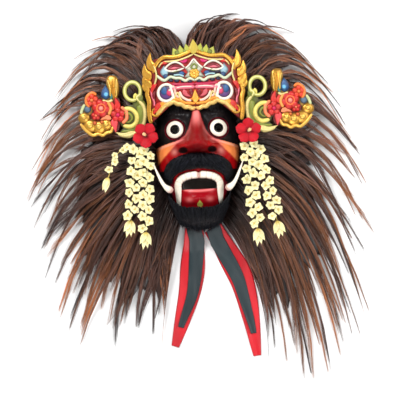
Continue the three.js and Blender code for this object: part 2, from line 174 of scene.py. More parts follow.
def tinted(paint, share):
    """A paint made darker by a share below 1, or lighter by one above it."""
    return np.array(paint) * share


def blended(first, second, part):
    """Two paints stirred together, with the given part of the second."""
    return between(np.array(first), np.array(second), part)


def steps(count):
    """Even steps from 0 to 1."""
    return np.linspace(0, 1, count)


def through(knots, parts):
    """Points on a smooth line through the knots, at the given shares of its way."""
    knots = np.asarray(knots, float)
    padded = np.vstack([2 * knots[0] - knots[1], knots, 2 * knots[-1] - knots[-2]])
    place = np.clip(np.asarray(parts, float), 0, 1) * (len(knots) - 1)
    first = np.minimum(place.astype(int), len(knots) - 2)
    t = (place - first)[..., None]
    a, b, c, d = (padded[first + k] for k in range(4))
    bend = (2 * a - 5 * b + 4 * c - d) * t**2 + (3 * b - a - 3 * c + d) * t**3
    return 0.5 * (2 * b + (c - a) * t + bend)


def evenly(knots, count):
    """Points at even steps along a smooth line through the knots."""
    dense = through(knots, steps(30 * len(knots)))
    run = np.concatenate([[0], np.cumsum(np.linalg.norm(np.diff(dense, axis=0), axis=1))])
    places = np.linspace(0, run[-1], count)
    return np.column_stack([np.interp(places, run, column) for column in dense.T])


def ring(centre_x, centre_y, radius, count=36, tall=1.0, start=0.0):
    """Points round a circle, or round an oval that is tall times as high as it is wide."""
    angle = start + np.linspace(0, 2 * math.pi, count, endpoint=False)
    return np.column_stack([centre_x + radius * np.cos(angle), centre_y + tall * radius * np.sin(angle)])


def grid_faces(rows, columns, closed=False):
    """Quads of a grid of corners. A closed grid joins its last column to its first."""
    row, column = np.mgrid[0 : rows - 1, 0 : columns if closed else columns - 1]
    after = (column + 1) % columns
    here, up = row * columns, (row + 1) * columns
    return np.stack([here + column, here + after, up + after, up + column], -1).reshape(-1, 4)


def tube_faces(rows, columns):
    """Faces of a skin that closes on itself, between rows of corners, with a lid at each end."""
    corners = np.arange(columns)[None]
    return [grid_faces(rows, columns, True), corners, (rows - 1) * columns + corners[:, ::-1]]


# ---- turning corners and faces into pieces ----
class Kit:
    """The corners and faces of one piece, gathered bit by bit, and the numbers or paint on its corners."""

    def __init__(self):
        self.places, self.faces, self.marks, self.count = [], [], {}, 0

    def add(self, places, faces, **marks):
        places = np.asarray(places, float).reshape(-1, 3)
        self.faces.extend(np.asarray(face) + self.count for face in faces)
        self.places.append(places)
        for name, value in marks.items():
            shape = (len(places), 3) if name == "paint" else (len(places),)
            self.marks.setdefault(name, []).append(np.broadcast_to(np.asarray(value, float), shape))
        self.count += len(places)


def kit_mesh(name, kit):
    """The mesh of a kit, in metres and in its place on the frame."""
    places = (np.vstack(kit.places) + SHIFT) / MM
    corners = np.concatenate([faces.ravel() for faces in kit.faces])
    sizes = np.concatenate([np.full(len(faces), faces.shape[1]) for faces in kit.faces])
    mesh = bpy.data.meshes.new(name)
    mesh.vertices.add(len(places))
    mesh.vertices.foreach_set("co", places.astype(np.float32).ravel())
    mesh.loops.add(len(corners))
    mesh.loops.foreach_set("vertex_index", corners.astype(np.int32))
    mesh.polygons.add(len(sizes))
    mesh.polygons.foreach_set("loop_start", (np.cumsum(sizes) - sizes).astype(np.int32))
    mesh.update(calc_edges=True)
    return mesh


def make_piece(name, kit, material, nodes, outward=True):
    """Makes the mesh, lays its marks on it as attributes, and puts it on the frame."""
    mesh = kit_mesh(name, kit)
    mesh.shade_smooth()
    lay_marks(mesh, {mark: np.concatenate(values) for mark, values in kit.marks.items()})
    if outward:
        face_outward(mesh)
    return put_on_frame(name, mesh, [material], nodes)


def lay_marks(mesh, marks):
    """Gives each corner its numbers and its paint, for the finishes to read."""
    for name, values in marks.items():
        if values.ndim == 2:
            layer = mesh.attributes.new(name, "FLOAT_COLOR", "POINT")
            layer.data.foreach_set("color", np.column_stack([values, np.ones(len(values))]).ravel())
        else:
            layer = mesh.attributes.new(name, "FLOAT", "POINT")
            layer.data.foreach_set("value", values.astype(np.float32))


def face_outward(mesh):
    """Turns every face of a closed mesh to look out of it."""
    work = bmesh.new()
    work.from_mesh(mesh)
    bmesh.ops.recalc_face_normals(work, faces=work.faces)
    work.to_mesh(mesh)
    work.free()


def put_on_frame(name, mesh, materials, nodes):
    """Adds a finished piece to the scene, in the place of its nodes of the frame."""
    for material in materials:
        mesh.materials.append(material)
    piece = bpy.data.objects.new(name, mesh)
    bpy.context.scene.collection.objects.link(piece)
    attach(piece, "root")
    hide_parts(*nodes)
    return piece


def read_rows(things, name):
    """One place or direction from each corner or face of a mesh."""
    values = np.zeros(len(things) * 3, np.float32)
    things.foreach_get(name, values)
    return values.reshape(-1, 3)


def corner_places(mesh):
    """The corners of a mesh in millimetres on the mask's own axes."""
    return read_rows(mesh.vertices, "co").astype(float) * MM - SHIFT


def crossways(along):
    """The level and the upright direction across each step of a line."""
    across = np.cross(along, [0, 0, 1.0])
    across /= np.linalg.norm(across, axis=-1)[..., None] + TINY
    lift = np.cross(across, along)
    lift /= np.linalg.norm(lift, axis=-1)[..., None] + TINY
    return across, lift


def add_tube(kit, line, radius, sides, **marks):
    """A round bar along a line of points, closed at both ends."""
    line = np.asarray(line, float)
    across, lift = crossways(np.gradient(line, axis=0))
    angle = np.linspace(0, 2 * math.pi, sides, endpoint=False)[None, :, None]
    radius = np.broadcast_to(radius, len(line))[:, None, None]
    places = line[:, None] + radius * (np.cos(angle) * across[:, None] + np.sin(angle) * lift[:, None])
    marks = {name: np.repeat(np.broadcast_to(value, len(line)), sides) for name, value in marks.items()}
    kit.add(places, tube_faces(len(line), sides), **marks)


HAIR_TIP, HAIR_TAPER = 0.12, 0.9


def add_strands(kit, lines, radius, **marks):
    """Tapered three-sided hairs. lines holds strands by points by 3, and marks strands by points."""
    strands, points = lines.shape[:2]
    across, lift = crossways(np.gradient(lines, axis=1))
    angle = np.array([0.5, 7 / 6, 11 / 6])[:, None] * math.pi
    share = steps(points)
    width = np.maximum(radius[:, None] * (1 - HAIR_TAPER * share**1.8), HAIR_TIP)[..., None, None]
    spread_out = np.cos(angle) * across[:, :, None] + np.sin(angle) * lift[:, :, None]
    places = lines[:, :, None] + width * spread_out
    first = (np.arange(strands) * points * 3)[:, None, None]
    step, corner = np.arange(points - 1)[None, :, None] * 3, np.arange(3)[None, None]
    after = (corner + 1) % 3
    here, there = first + step, first + step + 3
    quads = np.stack(np.broadcast_arrays(here + corner, there + corner, there + after, here + after), -1)
    start = first[:, 0] + np.array([0, 1, 2])
    end = first[:, 0] + (points - 1) * 3 + np.array([2, 1, 0])
    grid = (strands, points)
    marks = {name: np.repeat(np.broadcast_to(value, grid).ravel(), 3) for name, value in marks.items()}
    kit.add(places, [quads.reshape(-1, 4), start, end], **marks)


def add_blanket(kit, top, bottom_z, **marks):
    """A closed pad between a grid of top corners and the same grid at bottom_z."""
    rows, columns = top.shape[:2]
    low = top.copy()
    low[..., 2] = bottom_z
    faces = grid_faces(rows, columns)
    border = np.concatenate([
        np.arange(columns), np.arange(1, rows) * columns + columns - 1,
        (rows - 1) * columns + np.arange(columns - 2, -1, -1), np.arange(rows - 2, 0, -1) * columns,
    ])
    after, below = np.roll(border, -1), rows * columns
    walls = np.stack([border, border + below, after + below, after], -1)
    places = np.concatenate([top.reshape(-1, 3), low.reshape(-1, 3)])
    kit.add(places, [faces, faces[:, ::-1] + below, walls], **marks)


BAND_SIDES = 9


def add_band(kit, line, width, height, surface, depth, groove=0.0, rise=0.0, **marks):
    """A rounded strip laid along a line on a surface, with upright walls that reach down by depth."""
    along = np.gradient(line, axis=0)
    along /= np.linalg.norm(along, axis=1)[:, None] + TINY
    across = np.column_stack([along[:, 1], -along[:, 0]])
    half = np.broadcast_to(width / 2, len(line))[:, None]
    tall = np.broadcast_to(height, len(line))[:, None]
    angle = np.linspace(0, math.pi, BAND_SIDES)[None]
    offset = np.cos(angle) * half
    bulge = np.sin(angle) ** 0.8 * (1 - groove * ridge(np.cos(angle), 0, 0.28))
    flat = line[:, None] + offset[..., None] * across[:, None]
    top = surface(flat[..., 0], flat[..., 1]) + rise + tall * bulge
    ends = flat[:, [-1, 0]]
    floor = surface(ends[..., 0], ends[..., 1]) - depth
    places = np.dstack([np.concatenate([flat, ends], 1), np.concatenate([top, floor], 1)])
    crest = np.concatenate([np.broadcast_to(np.sin(angle), top.shape), np.zeros((len(line), 2))], 1)
    kit.add(places, tube_faces(len(line), BAND_SIDES + 2), crest=crest.ravel(), **marks)


PAD_CURVE = 2.2


def add_pad(kit, outline, height, surface, depth, rings=6, rise=0.0, centre=None, **marks):
    """A cushioned boss over a closed outline, with upright walls that reach down by depth."""
    centre = outline.mean(0) if centre is None else np.asarray(centre, float)
    share = np.concatenate([[1, 1], 1 - steps(rings + 1)[1:-1] ** 1.6])
    plan = centre + share[:, None, None] * (outline - centre)
    level = surface(plan[..., 0], plan[..., 1]) + rise + height * ((1 - share**PAD_CURVE) ** 0.6)[:, None]
    level[0] = surface(plan[0, :, 0], plan[0, :, 1]) - depth
    count = len(outline)
    top = [*centre, float(surface(*centre)) + rise + height]
    places = np.vstack([np.dstack([plan, level]).reshape(-1, 3), top])
    inner, peak = (len(share) - 1) * count + np.arange(count), len(share) * count
    fan = np.stack([inner, np.roll(inner, -1), np.full(count, peak)], -1)
    faces = [grid_faces(len(share), count, True), fan, np.arange(count)[None, ::-1]]
    crest = np.concatenate([np.repeat(1 - share, count), [1.0]])
    kit.add(places, faces, crest=crest, **marks)


END_SHARE = 0.02  # how much of its width a strip keeps at its very ends


def rounded(count, blunt=10):
    """Shares of a strip's width that round both of its ends."""
    t = np.linspace(-1, 1, count)
    return np.maximum(1 - np.abs(t) ** blunt, 0) ** 0.5 + END_SHARE


def leafy(count, fat=0.35, sharp=0.9):
    """Shares of a leaf's width: round at its foot, widest at fat and pointed at its tip."""
    t = steps(count)
    foot = np.sin(np.clip(t / fat, 0, 1) * math.pi / 2) ** 0.7
    return foot * np.clip((1 - t) / (1 - fat), 0, 1) ** (sharp * ease(0, fat, t)) + END_SHARE


def curly(count, end=0.25):
    """Shares of a scroll's width, from a round thick start to a thin end."""
    t = steps(count)
    start, close = np.minimum(1, (t * count / 3) ** 0.5), np.minimum(1, ((1 - t) * 12) ** 0.5)
    return start * between(1, end, t**1.3) * close + END_SHARE


# ---- shader building ----
def fill(tree, made, sockets):
    """Fills a node's sockets from plain values or from other nodes' outputs."""
    for socket, value in sockets.items():
        if isinstance(value, bpy.types.NodeSocket):
            tree.links.new(value, made.inputs[socket])
        else:
            made.inputs[socket].default_value = value
    return made


def node(tree, kind, sockets=None, **settings):
    """A shader node with its settings and its filled sockets."""
    made = tree.nodes.new("ShaderNode" + kind)
    for name, value in settings.items():
        setattr(made, name, value)
    return fill(tree, made, sockets or {})


def maths(tree, operation, first, second=0.0, third=0.0):
    """One step of arithmetic between values."""
    return node(tree, "Math", {0: first, 1: second, 2: third}, operation=operation).outputs[0]


def times(tree, first, second):
    """The product of two values."""
    return maths(tree, "MULTIPLY", first, second)


def mixed(tree, mask, under, over, blend_type="MIX"):
    """The colour under with over laid on it where mask is 1."""
    colours = [value if isinstance(value, bpy.types.NodeSocket) else (*value, 1) for value in (under, over)]
    sockets = {0: mask, 6: colours[0], 7: colours[1]}
    return node(tree, "Mix", sockets, data_type="RGBA", blend_type=blend_type).outputs[2]


def spread(tree, value, low, high, new_low=0.0, new_high=1.0):
    """A value that goes smoothly from new_low to new_high while another goes from low to high."""
    sockets = {"Value": value, "From Min": low, "From Max": high, "To Min": new_low, "To Max": new_high}
    return node(tree, "MapRange", sockets, interpolation_type="SMOOTHSTEP").outputs[0]


def mark(tree, name):
    """A number that was laid on the mesh."""
    return node(tree, "Attribute", attribute_name=name).outputs["Fac"]


def own_place(tree):
    """Where a spot is on the piece itself."""
    return node(tree, "TexCoord").outputs["Object"]


def cloudy(tree, scale, detail=3.0, stretch=(1, 1, 1), roughness=0.55):
    """Soft random patches, longer one way where they are stretched."""
    place = node(tree, "Mapping", {"Vector": own_place(tree), "Scale": stretch}).outputs[0]
    sockets = {"Vector": place, "Scale": scale, "Detail": detail, "Roughness": roughness}
    return node(tree, "TexNoise", sockets).outputs["Fac"]


def uneven(tree, scale, detail, low, high, stretch=(1, 1, 1)):
    """A value that drifts between low and high from spot to spot."""
    return spread(tree, cloudy(tree, scale, detail, stretch), 0.3, 0.7, low, high)


def new_group(name, inputs, outputs):
    """An empty node group with named number inputs and outputs, and its two end nodes."""
    tree = bpy.data.node_groups.new(name, "ShaderNodeTree")
    for title, default in inputs.items():
        socket = tree.interface.new_socket(title, in_out="INPUT", socket_type="NodeSocketFloat")
        socket.default_value = default
    for title in outputs:
        tree.interface.new_socket(title, in_out="OUTPUT", socket_type="NodeSocketFloat")
    return tree, tree.nodes.new("NodeGroupInput").outputs, tree.nodes.new("NodeGroupOutput").inputs


def use_group(tree, name, sockets):
    """Places a shared effect in a finish, building its group the first time."""
    made = tree.nodes.new("ShaderNodeGroup")
    made.node_tree = bpy.data.node_groups.get(name) or GROUPS[name](name)
    return fill(tree, made, sockets).outputs


def painted_edge(name):
    """A painted area's edge, which wavers as a brush line does."""
    tree, given, out = new_group(name, {"Distance": 0.0, "Softness": 0.5, "Waver": 0.6}, ["Mask"])
    wobble = times(tree, maths(tree, "SUBTRACT", cloudy(tree, 160, 2), 0.5), given["Waver"])
    edge = maths(tree, "ADD", given["Distance"], times(tree, wobble, 3.0))
    lower = times(tree, given["Softness"], -1.0)
    tree.links.new(spread(tree, edge, lower, given["Softness"]), out["Mask"])
    return tree


def brushwork(name):
    """Strokes left by a small brush: a light and dark shade, and a height for the bump."""
    tree, given, out = new_group(name, {"Strength": 0.15}, ["Shade", "Height"])
    strokes = cloudy(tree, 420, 4, (1, 0.14, 0.5))
    clouds = cloudy(tree, 38, 3)
    both = maths(tree, "ADD", times(tree, strokes, 0.6), times(tree, clouds, 0.8))
    shade = times(tree, maths(tree, "SUBTRACT", both, 0.7), given["Strength"])
    tree.links.new(maths(tree, "ADD", 1.0, times(tree, shade, 2.0)), out["Shade"])
    tree.links.new(strokes, out["Height"])
    return tree


def handled_wear(name):
    """Rubbed spots on raised edges, where the paint has thinned."""
    tree, given, out = new_group(name, {"Raised": 0.0, "Amount": 0.5}, ["Mask"])
    spots = spread(tree, cloudy(tree, 260, 5, roughness=0.7), 0.52, 0.68)
    rubbed = times(tree, spots, maths(tree, "POWER", given["Raised"], 3.0))
    tree.links.new(times(tree, rubbed, given["Amount"]), out["Mask"])
    return tree


def dust_and_shade_group(name):
    """Darker patches in low and flat places: grime that gathers there, and painted shade."""
    tree, given, out = new_group(name, {"Low": 0.0, "Amount": 0.5}, ["Mask"])
    patches = spread(tree, cloudy(tree, 90, 4), 0.38, 0.7)
    grime_and_shade = times(tree, patches, given["Low"])
    tree.links.new(times(tree, grime_and_shade, given["Amount"]), out["Mask"])
    return tree


def hide_grain(name):
    """The fine pebbled skin of painted hide."""
    tree, given, out = new_group(name, {"Scale": 900.0}, ["Height"])
    pebbles = node(tree, "TexVoronoi", {"Vector": own_place(tree), "Scale": given["Scale"]})
    creases = times(tree, cloudy(tree, 700, 3), 0.6)
    tree.links.new(maths(tree, "ADD", pebbles.outputs["Distance"], creases), out["Height"])
    return tree


def satin_weave(name):
    """Long shining floats of satin over fine crossing threads."""
    tree, given, out = new_group(name, {"Threads": 2600.0}, ["Height", "Shade"])
    sockets = {"Vector": own_place(tree), "Scale": given["Threads"], "Distortion": 1.5}
    floats, threads = (
        node(tree, "TexWave", sockets, bands_direction=way).outputs["Fac"] for way in ("X", "Y")
    )
    height = maths(tree, "ADD", floats, times(tree, threads, 0.5))
    tree.links.new(height, out["Height"])
    tree.links.new(uneven(tree, 30, 4, 0.82, 1.14, (1, 0.3, 1)), out["Shade"])
    return tree


def petal_veins(name):
    """Veins that run out along a silk petal, from marks along and across it."""
    tree, given, out = new_group(name, {"Along": 0.0, "Across": 0.0}, ["Mask", "Height"])
    fan = times(tree, given["Across"], 26.0)
    lines = maths(tree, "SINE", fan)
    fine = times(tree, maths(tree, "SINE", times(tree, fan, 2.7)), 0.4)
    ribs = spread(tree, maths(tree, "ADD", lines, fine), 0.2, 1.2)
    tree.links.new(times(tree, ribs, spread(tree, given["Along"], 1.0, 0.2)), out["Mask"])
    tree.links.new(ribs, out["Height"])
    return tree


GROUPS = {
    "Painted edge": painted_edge,
    "Brushwork": brushwork,
    "Handled wear": handled_wear,
    "Settled dust": dust_and_shade_group,
    "Hide grain": hide_grain,
    "Satin weave": satin_weave,
    "Petal veins": petal_veins,
}


def new_finish(name, **constants):
    """A material whose shader has constant values in its own sockets."""
    material = bpy.data.materials.new(name)
    material.use_nodes = True
    tree = material.node_tree
    shader = tree.nodes["Principled BSDF"]
    for socket, value in constants.items():
        shader.inputs[socket.replace("_", " ")].default_value = value
    return material, tree, shader


def bump(tree, shader, height, strength, distance):
    """Raises the surface by a height, for the light only."""
    raised = node(tree, "Bump", {"Height": height, "Strength": strength, "Distance": distance})
    fill(tree, shader, {"Normal": raised.outputs[0]})


def shaded(tree, colour, shade):
    """The colour made lighter or darker by a shade round 1."""
    grey = node(tree, "CombineColor", {0: shade, 1: shade, 2: shade}).outputs[0]
    return mixed(tree, 1.0, colour, grey, "MULTIPLY")


# ---- finishes ----
LID_RING, WHITE_RING, PUPIL_RING = 18.5, 15.0, 8.5  # how far out from the middle of the eye each paint goes
# the first red here is painted shade, laid in the sockets and folds of the face
SHADE_RED, PUPIL_BLACK, NOSTRIL_SHADE = (0.05, 0.0, 0.004), (0.002, 0.002, 0.003), (0.008, 0.002, 0.003)
CAVITY_SHADE, SPRIG_GREEN, FACE_DUST_AND_SHADE = (0.004, 0.002, 0.003), (0.42, 0.42, 0.08), (0.16, 0.1, 0.08)
WOOD_DARK, WOOD_PALE, TOOTH_STAIN_AND_SHADE = (0.30, 0.17, 0.08), (0.44, 0.28, 0.15), (0.50, 0.16, 0.12)
BARE_HIDE, HIDE_DUST_AND_SHADE = (0.42, 0.26, 0.13), (0.10, 0.06, 0.04)
FLOOR_GREY, FLOOR_PALE = (0.86, 0.86, 0.86), (0.90, 0.90, 0.90)


def lacquered_paint(paints):
    """The face's paint: red lacquer with black, rose, orange and ivory laid over it by brush."""
    material, tree, shader = new_finish(
        "Lacquered paint", Roughness=0.4, Specular_IOR_Level=0.12, Coat_Roughness=0.18, Coat_IOR=1.34
    )
    strokes = use_group(tree, "Brushwork", {"Strength": 0.2})

    def area(name, softness=0.5, waver=0.5):
        sockets = {"Distance": mark(tree, name), "Softness": softness, "Waver": waver}
        return use_group(tree, "Painted edge", sockets)["Mask"]

    # the red, darker in the sockets and folds as painted shade, with the cheek streaks and the painted
    # highlight lines
    colour = shaded(tree, paints.red, strokes["Shade"])
    colour = mixed(tree, times(tree, mark(tree, "shade"), 0.85), colour, SHADE_RED)
    cheek = mixed(tree, mark(tree, "cheek_out"), blended(paints.red, paints.rose, 0.5), paints.orange)
    colour = mixed(tree, area("cheek", 2.6, 0.8), colour, cheek)
    # the painted highlight lines: rose by the nose, pale orange out on the cheeks
    light = mixed(tree, mark(tree, "cheek_out"), paints.rose, blended(paints.orange, (1, 1, 1), 0.25))
    colour = mixed(tree, mark(tree, "rose"), colour, light)

    # the black patches and the rings of the eyes
    colour = mixed(tree, area("patch", 0.7, 1.0), colour, paints.black)
    eye = mark(tree, "eye")
    for edge, paint in ((LID_RING, paints.maroon), (WHITE_RING, paints.ivory), (PUPIL_RING, PUPIL_BLACK)):
        inside = maths(tree, "SUBTRACT", edge, eye)
        mask = use_group(tree, "Painted edge", {"Distance": inside, "Softness": 0.5, "Waver": 0.25})["Mask"]
        colour = mixed(tree, mask, colour, paint)

    # the mouth, the jaw and the openings, with painted highlights on the tongue and painted shade in the
    # nostrils and openings
    colour = mixed(tree, area("lip", 0.6, 0.4), colour, paints.maroon)
    colour = mixed(tree, area("jaw", 0.8, 0.8), colour, paints.black)
    # the nostrils painted near black as shade
    colour = mixed(tree, area("nostril", 1.0, 0.2), colour, NOSTRIL_SHADE)
    # painted highlights on the tongue in the nose rose colour
    tongue = mixed(tree, mark(tree, "tongue_highlight"), paints.tongue, paints.rose)
    colour = mixed(tree, area("tongue", 0.5, 0.3), colour, tongue)
    colour = mixed(tree, area("sprig", 0.4, 0.2), colour, SPRIG_GREEN)
    # painted shade: the peepholes, the mouth and steep walls set back from the front painted near black
    colour = mixed(tree, area("cavity", 0.4, 0.1), colour, CAVITY_SHADE)

    # dark patches over the painted shade of the sockets, rim and nose: more painted shade, and grime
    dust_and_shade = use_group(tree, "Settled dust", {"Low": mark(tree, "shade"), "Amount": 0.25})["Mask"]
    fill(tree, shader, {"Base Color": mixed(tree, dust_and_shade, colour, FACE_DUST_AND_SHADE)})
    fill(tree, shader, {"Roughness": uneven(tree, 60, 4, 0.3, 0.46)})
    fill(tree, shader, {"Coat Weight": spread(tree, cloudy(tree, 25, 3), 0.35, 0.6, 0.04, 0.18)})
    bump(tree, shader, strokes["Height"], 0.25, 0.0004)
    return material


def raw_wood():
    """Unpainted wood inside the mask, with growth rings and gouge marks."""
    material, tree, shader = new_finish("Raw wood", Roughness=0.75, Specular_IOR_Level=0.2)
    place = node(tree, "Mapping", {"Vector": own_place(tree), "Scale": (1, 0.12, 1)}).outputs[0]
    waves = node(tree, "TexWave", {"Vector": place, "Scale": 60.0, "Distortion": 6.0, "Detail": 3.0})
    rings = waves.outputs["Fac"]
    colour = mixed(tree, rings, WOOD_DARK, WOOD_PALE)
    fill(tree, shader, {"Base Color": shaded(tree, colour, uneven(tree, 40, 4, 0.7, 1.1))})
    cuts = node(tree, "TexVoronoi", {"Vector": own_place(tree), "Scale": 110.0}, feature="SMOOTH_F1")
    gouged = maths(tree, "ADD", cuts.outputs[0], times(tree, rings, 0.2))
    bump(tree, shader, gouged, 0.5, 0.002)
    return material


def ivory_paint(paints):
    """Glossy ivory paint of the teeth and tusks, with reddish staining and painted shade where they meet."""
    material, tree, shader = new_finish(
        "Ivory paint", Roughness=0.28, Specular_IOR_Level=0.5, Coat_Weight=0.4, Coat_Roughness=0.1
    )
    stained_and_shaded = times(tree, mark(tree, "stain"), 0.75)
    colour = mixed(tree, stained_and_shaded, paints.ivory, TOOTH_STAIN_AND_SHADE)
    strokes = use_group(tree, "Brushwork", {"Strength": 0.08})
    fill(tree, shader, {"Base Color": shaded(tree, colour, strokes["Shade"])})
    fill(tree, shader, {"Roughness": uneven(tree, 120, 3, 0.2, 0.4)})
    bump(tree, shader, cloudy(tree, 300, 4, (1, 0.3, 1)), 0.12, 0.0004)
    return material


def hair_finish(name, root, middle, tan, tip, shine):
    """Hair whose colour runs from root to tip, and differs from lock to lock; in the mane the dark root
    colour is painted shade deep in the hair.
    """
    material, tree, shader = new_finish(name, Roughness=0.5, Specular_IOR_Level=shine)
    ragged = times(tree, maths(tree, "SUBTRACT", cloudy(tree, 70, 3), 0.5), 0.3)
    along = maths(tree, "ADD", mark(tree, "along"), ragged)
    warm = mark(tree, "warm")
    body = mixed(tree, spread(tree, warm, 0.35, 1.0, 0.0, 0.55), middle, tan)
    end = mixed(tree, spread(tree, warm, 0.35, 0.7), tip, tan)
    # darker towards the root: in the mane this is painted shade deep in the hair
    colour = mixed(tree, spread(tree, along, 0.05, 0.5), root, body)
    colour = mixed(tree, spread(tree, along, 0.62, 0.92), colour, end)
    fill(tree, shader, {"Base Color": shaded(tree, colour, mark(tree, "tint"))})
    fill(tree, shader, {"Roughness": uneven(tree, 200, 3, 0.30, 0.52, (1, 0.2, 1))})
    return material


def painted_leather(name, wear):
    """Embossed leather painted in many colours and gilded, from the paint laid on each bit of the mesh, with
    painted shade towards the foot of each raised bit.
    """
    material, tree, shader = new_finish(name, Roughness=0.4, Specular_IOR_Level=0.5, Coat_Roughness=0.2)
    paint = node(tree, "Attribute", attribute_name="paint").outputs["Color"]
    crest, gilt = mark(tree, "crest"), mark(tree, "gilt")
    strokes = use_group(tree, "Brushwork", {"Strength": 0.2})
    colour = shaded(tree, paint, strokes["Shade"])
    # painted shade: each raised bit darker towards its walls and foot
    colour = shaded(tree, colour, spread(tree, crest, 0.0, 0.55, 0.5, 1.0))
    rubbed = use_group(tree, "Handled wear", {"Raised": crest, "Amount": wear})["Mask"]
    colour = mixed(tree, rubbed, colour, BARE_HIDE)
    # dark patches in the low places between raised bits: grime, and painted shade
    low = maths(tree, "SUBTRACT", 1.0, crest)
    dust_and_shade = use_group(tree, "Settled dust", {"Low": low, "Amount": 0.4})["Mask"]
    fill(tree, shader, {"Base Color": mixed(tree, dust_and_shade, colour, HIDE_DUST_AND_SHADE)})
    fill(tree, shader, {"Metallic": times(tree, gilt, 0.55)})
    rough = maths(tree, "MULTIPLY_ADD", gilt, -0.12, uneven(tree, 90, 3, 0.36, 0.52))
    fill(tree, shader, {"Roughness": rough})
    grain = use_group(tree, "Hide grain", {"Scale": 900.0})["Height"]
    bump(tree, shader, maths(tree, "ADD", grain, strokes["Height"]), 0.22, 0.0003)
    return material


def silk(name, petal, throat):
    """Thin silk petals with pressed veins, deeper in colour towards the middle of the flower."""
    material, tree, shader = new_finish(
        name, Roughness=0.6, Specular_IOR_Level=0.3, Sheen_Weight=0.35, Sheen_Roughness=0.35,
        Subsurface_Weight=0.08, Subsurface_Scale=0.002,
    )
    along = mark(tree, "along")
    veins = use_group(tree, "Petal veins", {"Along": along, "Across": mark(tree, "across")})
    colour = mixed(tree, spread(tree, along, 0.35, 0.0), petal, throat)
    colour = shaded(tree, colour, spread(tree, veins["Mask"], 0.0, 1.0, 1.05, 0.72))
    fill(tree, shader, {"Base Color": shaded(tree, colour, uneven(tree, 80, 3, 0.86, 1.1))})
    fill(tree, shader, {"Roughness": uneven(tree, 300, 2, 0.5, 0.7)})
    threads = times(tree, use_group(tree, "Satin weave", {"Threads": 1800.0})["Height"], 0.15)
    bump(tree, shader, maths(tree, "ADD", veins["Height"], threads), 0.35, 0.0004)
    return material


def satin(name, colour):
    """Shining ribbon satin with a darker hem along each edge."""
    material, tree, shader = new_finish(
        name, Roughness=0.42, Specular_IOR_Level=0.4, Sheen_Weight=0.3, Sheen_Roughness=0.3, Anisotropic=0.5
    )
    weave = use_group(tree, "Satin weave", {"Threads": 1500.0})
    dyed = shaded(tree, colour, weave["Shade"])
    hem = spread(tree, mark(tree, "edge"), 0.90, 0.93, 1.0, 0.72)
    fill(tree, shader, {"Base Color": shaded(tree, dyed, hem)})
    fill(tree, shader, {"Roughness": uneven(tree, 50, 3, 0.34, 0.55, (1, 0.2, 1))})
    bump(tree, shader, weave["Height"], 0.15, 0.0003)
    return material


# ---- the carved face ----
SQUARE = 2.25  # 2 makes the outline of the face an ellipse, and more makes it fuller at its corners
EYE_X, EYE_Y, EYE_RADIUS, EYE_RISE, EYE_HOLE = 38.0, 53.0, 16.0, 13.0, 6.5
NOSE_TOP, NOSE_TIP, NOSE_END, NOSE_NARROW, NOSE_WIDE, NOSE_HEIGHT = 88.0, 30.0, 13.0, 7.0, 21.0, 46.0
THROAT_HALF, THROAT_TOP, THROAT_FLOOR, THROAT_ARCH = 30.0, -33.0, -52.0, 8.0
FACE_RINGS, FACE_ROUND, HOLLOW_RINGS, HOLLOW_ROUND = 132, 280, 22, 90


def outness(x, y, more=0.0):
    """How far out a place is on the egg outline of the face grown by more: 1 on the rim."""
    jaw = 1 - 0.16 * ease(0, -FACE_DOWN, y - FACE_CENTRE_Y)
    tall = np.where(y > FACE_CENTRE_Y, FACE_UP, FACE_DOWN)
    across = np.abs(x) / (FACE_HALF * jaw + more)
    along = np.abs(y - FACE_CENTRE_Y) / (tall + more)
    return (across**SQUARE + along**SQUARE) ** (1 / SQUARE)


def dome(out):
    """How high the uncarved face stands, from its outline to its middle."""
    return FACE_DEPTH * np.maximum(0, 1 - out**2.6) ** 0.5


def nose_rise(x, y):
    """The bridge, the tip and the two wings of the nose."""
    down = np.clip((NOSE_TOP - y) / (NOSE_TOP - NOSE_TIP), 0, 1)
    under = ease(NOSE_END - 5, NOSE_TIP - 4, y)
    half = between(NOSE_NARROW, NOSE_WIDE, down**1.3)
    bridge = between(5, NOSE_HEIGHT, down**1.2) * under * np.exp(-((np.abs(x) / half) ** 2.4))
    return bridge * ease(NOSE_TOP + 12, NOSE_TOP - 12, y) + 17 * swell(np.abs(x), y, 25, 21, 9, 9)


def eye_rise(x, y):
    """The bulging eyeballs."""
    away = np.hypot(np.abs(x) - EYE_X, y - EYE_Y) / EYE_RADIUS
    return EYE_RISE * np.sqrt(np.maximum(0, 1 - away**2))


def broad_carving(x, y):
    """The brows, sockets, cheeks, lips, sunk mouth, tongue and chin that the solid has too."""
    side = np.abs(x)
    sockets = -7 * swell(side, y, EYE_X, EYE_Y, 25, 21) + 8 * swell(side, y, 40, 79, 26, 9)
    cheeks = 9 * swell(side, y, 58, 10, 14, 16) + 8 * swell(side, y, 42, 24, 18, 7)
    lips = 5 * swell(side, y, 0, -6, 56, 14) + 5 * swell(side, y, 46, -48, 9, 26)
    mouth = -9 * swell(side, y, 0, -46, 34, 20) + 10 * swell(side, y, 0, -67, 25, 12)
    chin = 7 * swell(side, y, 0, -100, 34, 14)
    return nose_rise(x, y) + eye_rise(x, y) + sockets + cheeks + lips + mouth + chin


